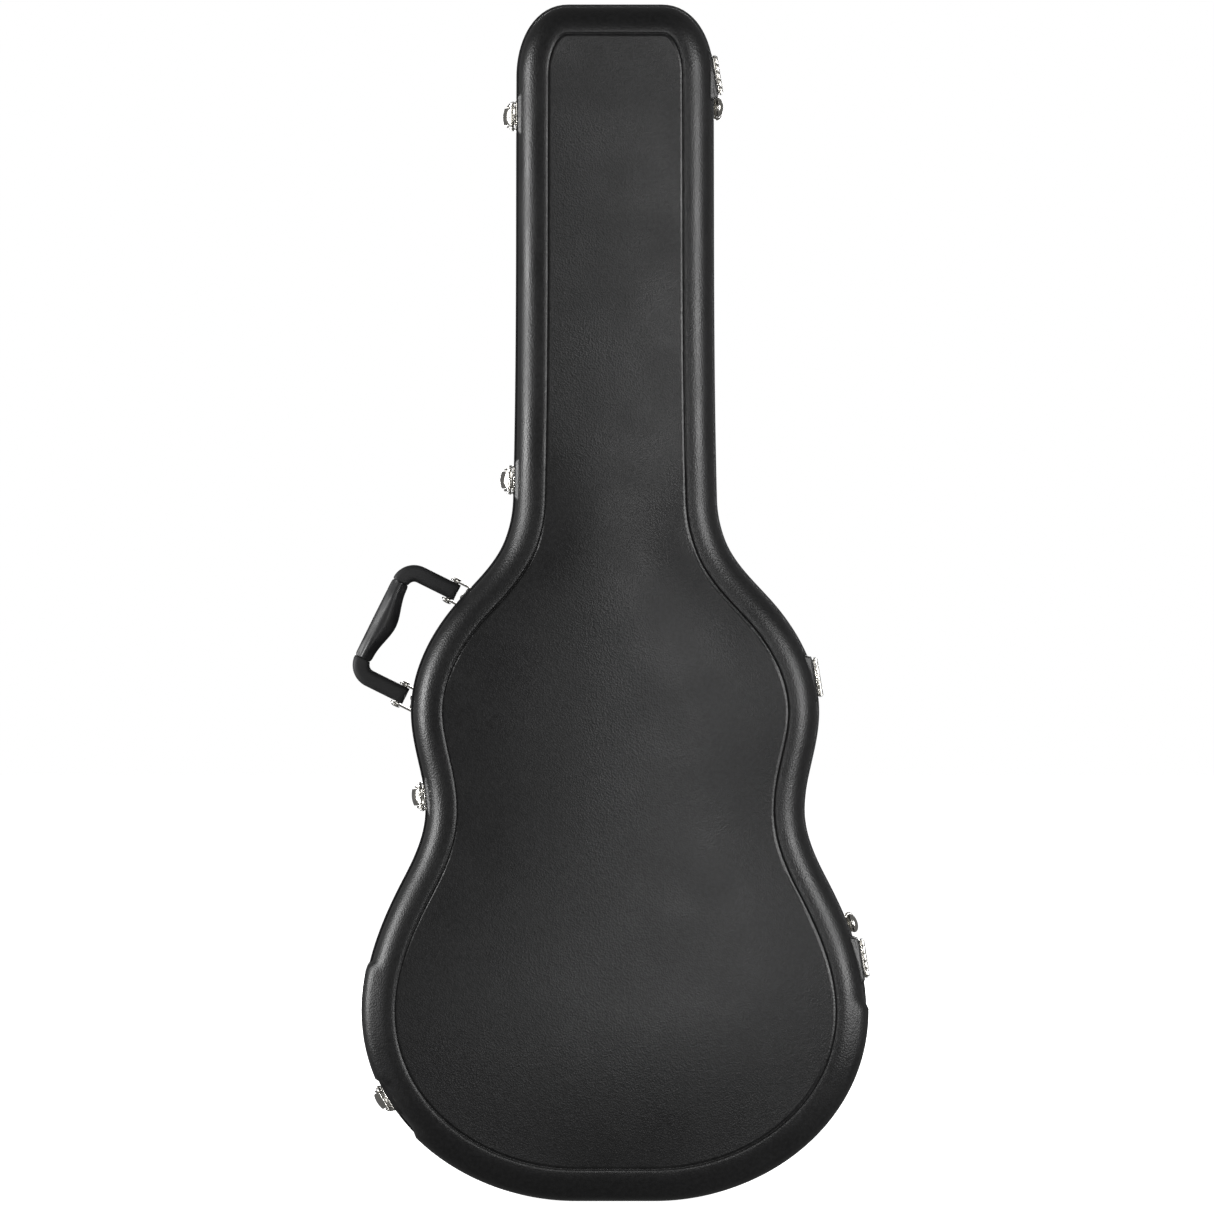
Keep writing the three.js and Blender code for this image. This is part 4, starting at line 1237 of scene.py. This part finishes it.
def make_handle_pin():
    """A pin with a domed head at each end."""
    half = ARM_THICK / 2 + 3.2
    head = [(r, half + h) for r, h in ((2.5, 0), (4.2, 0), (4.3, 0.4), (3.7, 1.1), (2.2, 1.5), (0, 1.6))]
    return turned("pin", [(r, -h) for r, h in head[::-1]] + head, 32)


handle_pin = make_handle_pin()
for place, end in (("lower", 1), ("upper", -1)):
    name = f"handle_bracket_{place}"
    bracket = make_bracket(name + "_pressed", end, *BRACKET_ZS[place])
    finish(bracket, "base", NICKEL, [name])
    name = f"handle_pin_{place}"
    turned_pin = copy_to(handle_pin, name + "_turned", HANDLE @ shift(0, 0, end * ARM_AT))
    finish(turned_pin, "base", NICKEL, [name])
put_away(handle_pin)

# %% [markdown]
# ## Neck cradle, pocket flap and pull
# The neck rests in a padded cradle: foam cut to a notch and covered in plush. The pocket's lid is a thin
# board in plush that hinges on its own cloth, with a ribbon to lift it. The cradle is drawn, extruded,
# and then softened like the bed. The flap is drawn too, and puffed with a few insets.

# %% Cradle, flap and pull
def make_cradle():
    half, top, notch, floor_y = 49, -40, 31, 17.7
    outline = [(-half, floor_y)]
    outline += arc(-half + 8, top + 8, 8, 180, 270, 6) + arc(-notch - 6, top + 6, 6, 270, 340, 5)
    outline += bezier((-notch + 2, top + 6), (-notch + 10, -24), (notch - 10, -24), (notch - 2, top + 6), 17)
    outline += arc(notch + 6, top + 6, 6, 200, 270, 5) + arc(half - 8, top + 8, 8, 270, 360, 6)
    outline += [(half, floor_y)]
    cradle = drawn("neck_cradle_plush", outline, 843.5, 871.5, slices=4)
    softened(cradle, 0.0025, 5)
    co, normal = points_of(cradle), normals_of(cradle)
    puff = 0.0006 * soft_step((floor_y * MM - co[:, 1]) / 0.01)
    move_points(cradle, co + normal * puff[:, None])
    return cradle


def laid_at(y):
    """Lays a shape drawn on x and z in the neck bed: its underside at y, its top towards the lid."""
    return Matrix(((1, 0, 0, 0), (0, 0, -1, y), (0, 1, 0, 0), (0, 0, 0, 1)))


def make_flap():
    flap = drawn("pocket_flap_plush", rounded(-32, 643, 32, 841, 5, 7), 0, 1.2)
    edit()
    pick("FACE", lambda f: middle(f).z > 1.1 * MM and len(f.verts) > 4)
    insets([(0.5 * MM, 0.5 * MM), (1.2 * MM, 0.5 * MM), (3 * MM, 0.3 * MM), (8 * MM, 0.1 * MM)])
    done()
    return moved(flap, laid_at(0.0174))


cradle = finish(make_cradle(), "base", PLUSH, ["neck_cradle"], angle=80)
flap = finish(outwards(make_flap()), "pocket_flap", PLUSH, ["pocket_flap"], angle=60)
pull = edged(drawn("pocket_pull_ribbon", rounded(16, 734, 39, 750, 3, 5), 0, 0.9), 0.3)
moved(pull, laid_at(0.0145))
finish(outwards(pull), "pocket_flap", RIBBON, ["pocket_pull"])

# %% [markdown]
# ## Light
# The case is black, so it is shaped by what its gloss catches. A narrow light far round to the left
# draws the bright edge there, and a wide one to the right gives the broad band on the other edge. Two
# in front lay the long glow on the crowned face and lift the flat neck, and a faint one low down keeps
# the foot from going black. A large one behind serves for views from that side. The floor and all that
# the camera sees past the case are white, but the case itself is lit by a dim grey room.

# %% Light and floor
def soft_light(name, at, aim, size, power):
    lamp = bpy.data.lights.new(name, "AREA")
    lamp.shape = "RECTANGLE"
    lamp.size, lamp.size_y = size
    lamp.energy = power
    light = bpy.data.objects.new(name, lamp)
    light.location = at
    light.rotation_euler = (Vector(aim) - Vector(at)).to_track_quat("-Z", "Y").to_euler()
    light.visible_camera = False
    bpy.context.scene.collection.objects.link(light)


soft_light("left_edge", (-2.6, -0.2, 0.7), (0, 0, 0.6), (0.5, 1.8), 64)
soft_light("right_broad", (2.5, -1.5, 0.8), (0, 0, 0.55), (0.8, 1.9), 58)
soft_light("face_glow", (0.55, -3.0, 0.6), (0.05, 0, 0.45), (0.1, 0.36), 9)
soft_light("behind", (0.0, 3.6, 1.3), (0, 0, 0.5), (1.6, 1.8), 60)
soft_light("neck_glow", (0.0, -3.0, 1.55), (0, 0, 0.8), (0.9, 0.7), 7)
soft_light("foot_glow", (0.0, -1.1, 0.05), (0, 0, 0.02), (0.7, 0.08), 0.8)


def white_surroundings(bright):
    world = bpy.data.worlds.new("studio")
    world.use_nodes = True
    nodes, links = world.node_tree.nodes, world.node_tree.links
    room = nodes["Background"]
    room.inputs["Color"].default_value = (bright, bright, bright, 1)
    paper = nodes.new("ShaderNodeBackground")
    paper.inputs["Color"].default_value = (1, 1, 1, 1)
    path = nodes.new("ShaderNodeLightPath")
    mix = nodes.new("ShaderNodeMixShader")
    links.new(path.outputs["Is Camera Ray"], mix.inputs["Fac"])
    links.new(room.outputs[0], mix.inputs[1])
    links.new(paper.outputs[0], mix.inputs[2])
    links.new(mix.outputs[0], nodes["World Output"].inputs["Surface"])
    bpy.context.scene.world = world


white_surroundings(0.14)
floor = start("floor", bpy.ops.mesh.primitive_plane_add, size=30, location=(0, 0, 0))
paper = Finish("white_floor", (1, 1, 1), 1.0)
paper.shader.inputs["Emission Color"].default_value = (1, 1, 1, 1)
paper.shader.inputs["Emission Strength"].default_value = 1.0
floor.data.materials.append(paper.material)
floor.visible_diffuse = floor.visible_glossy = False
print("lights and floor in place")
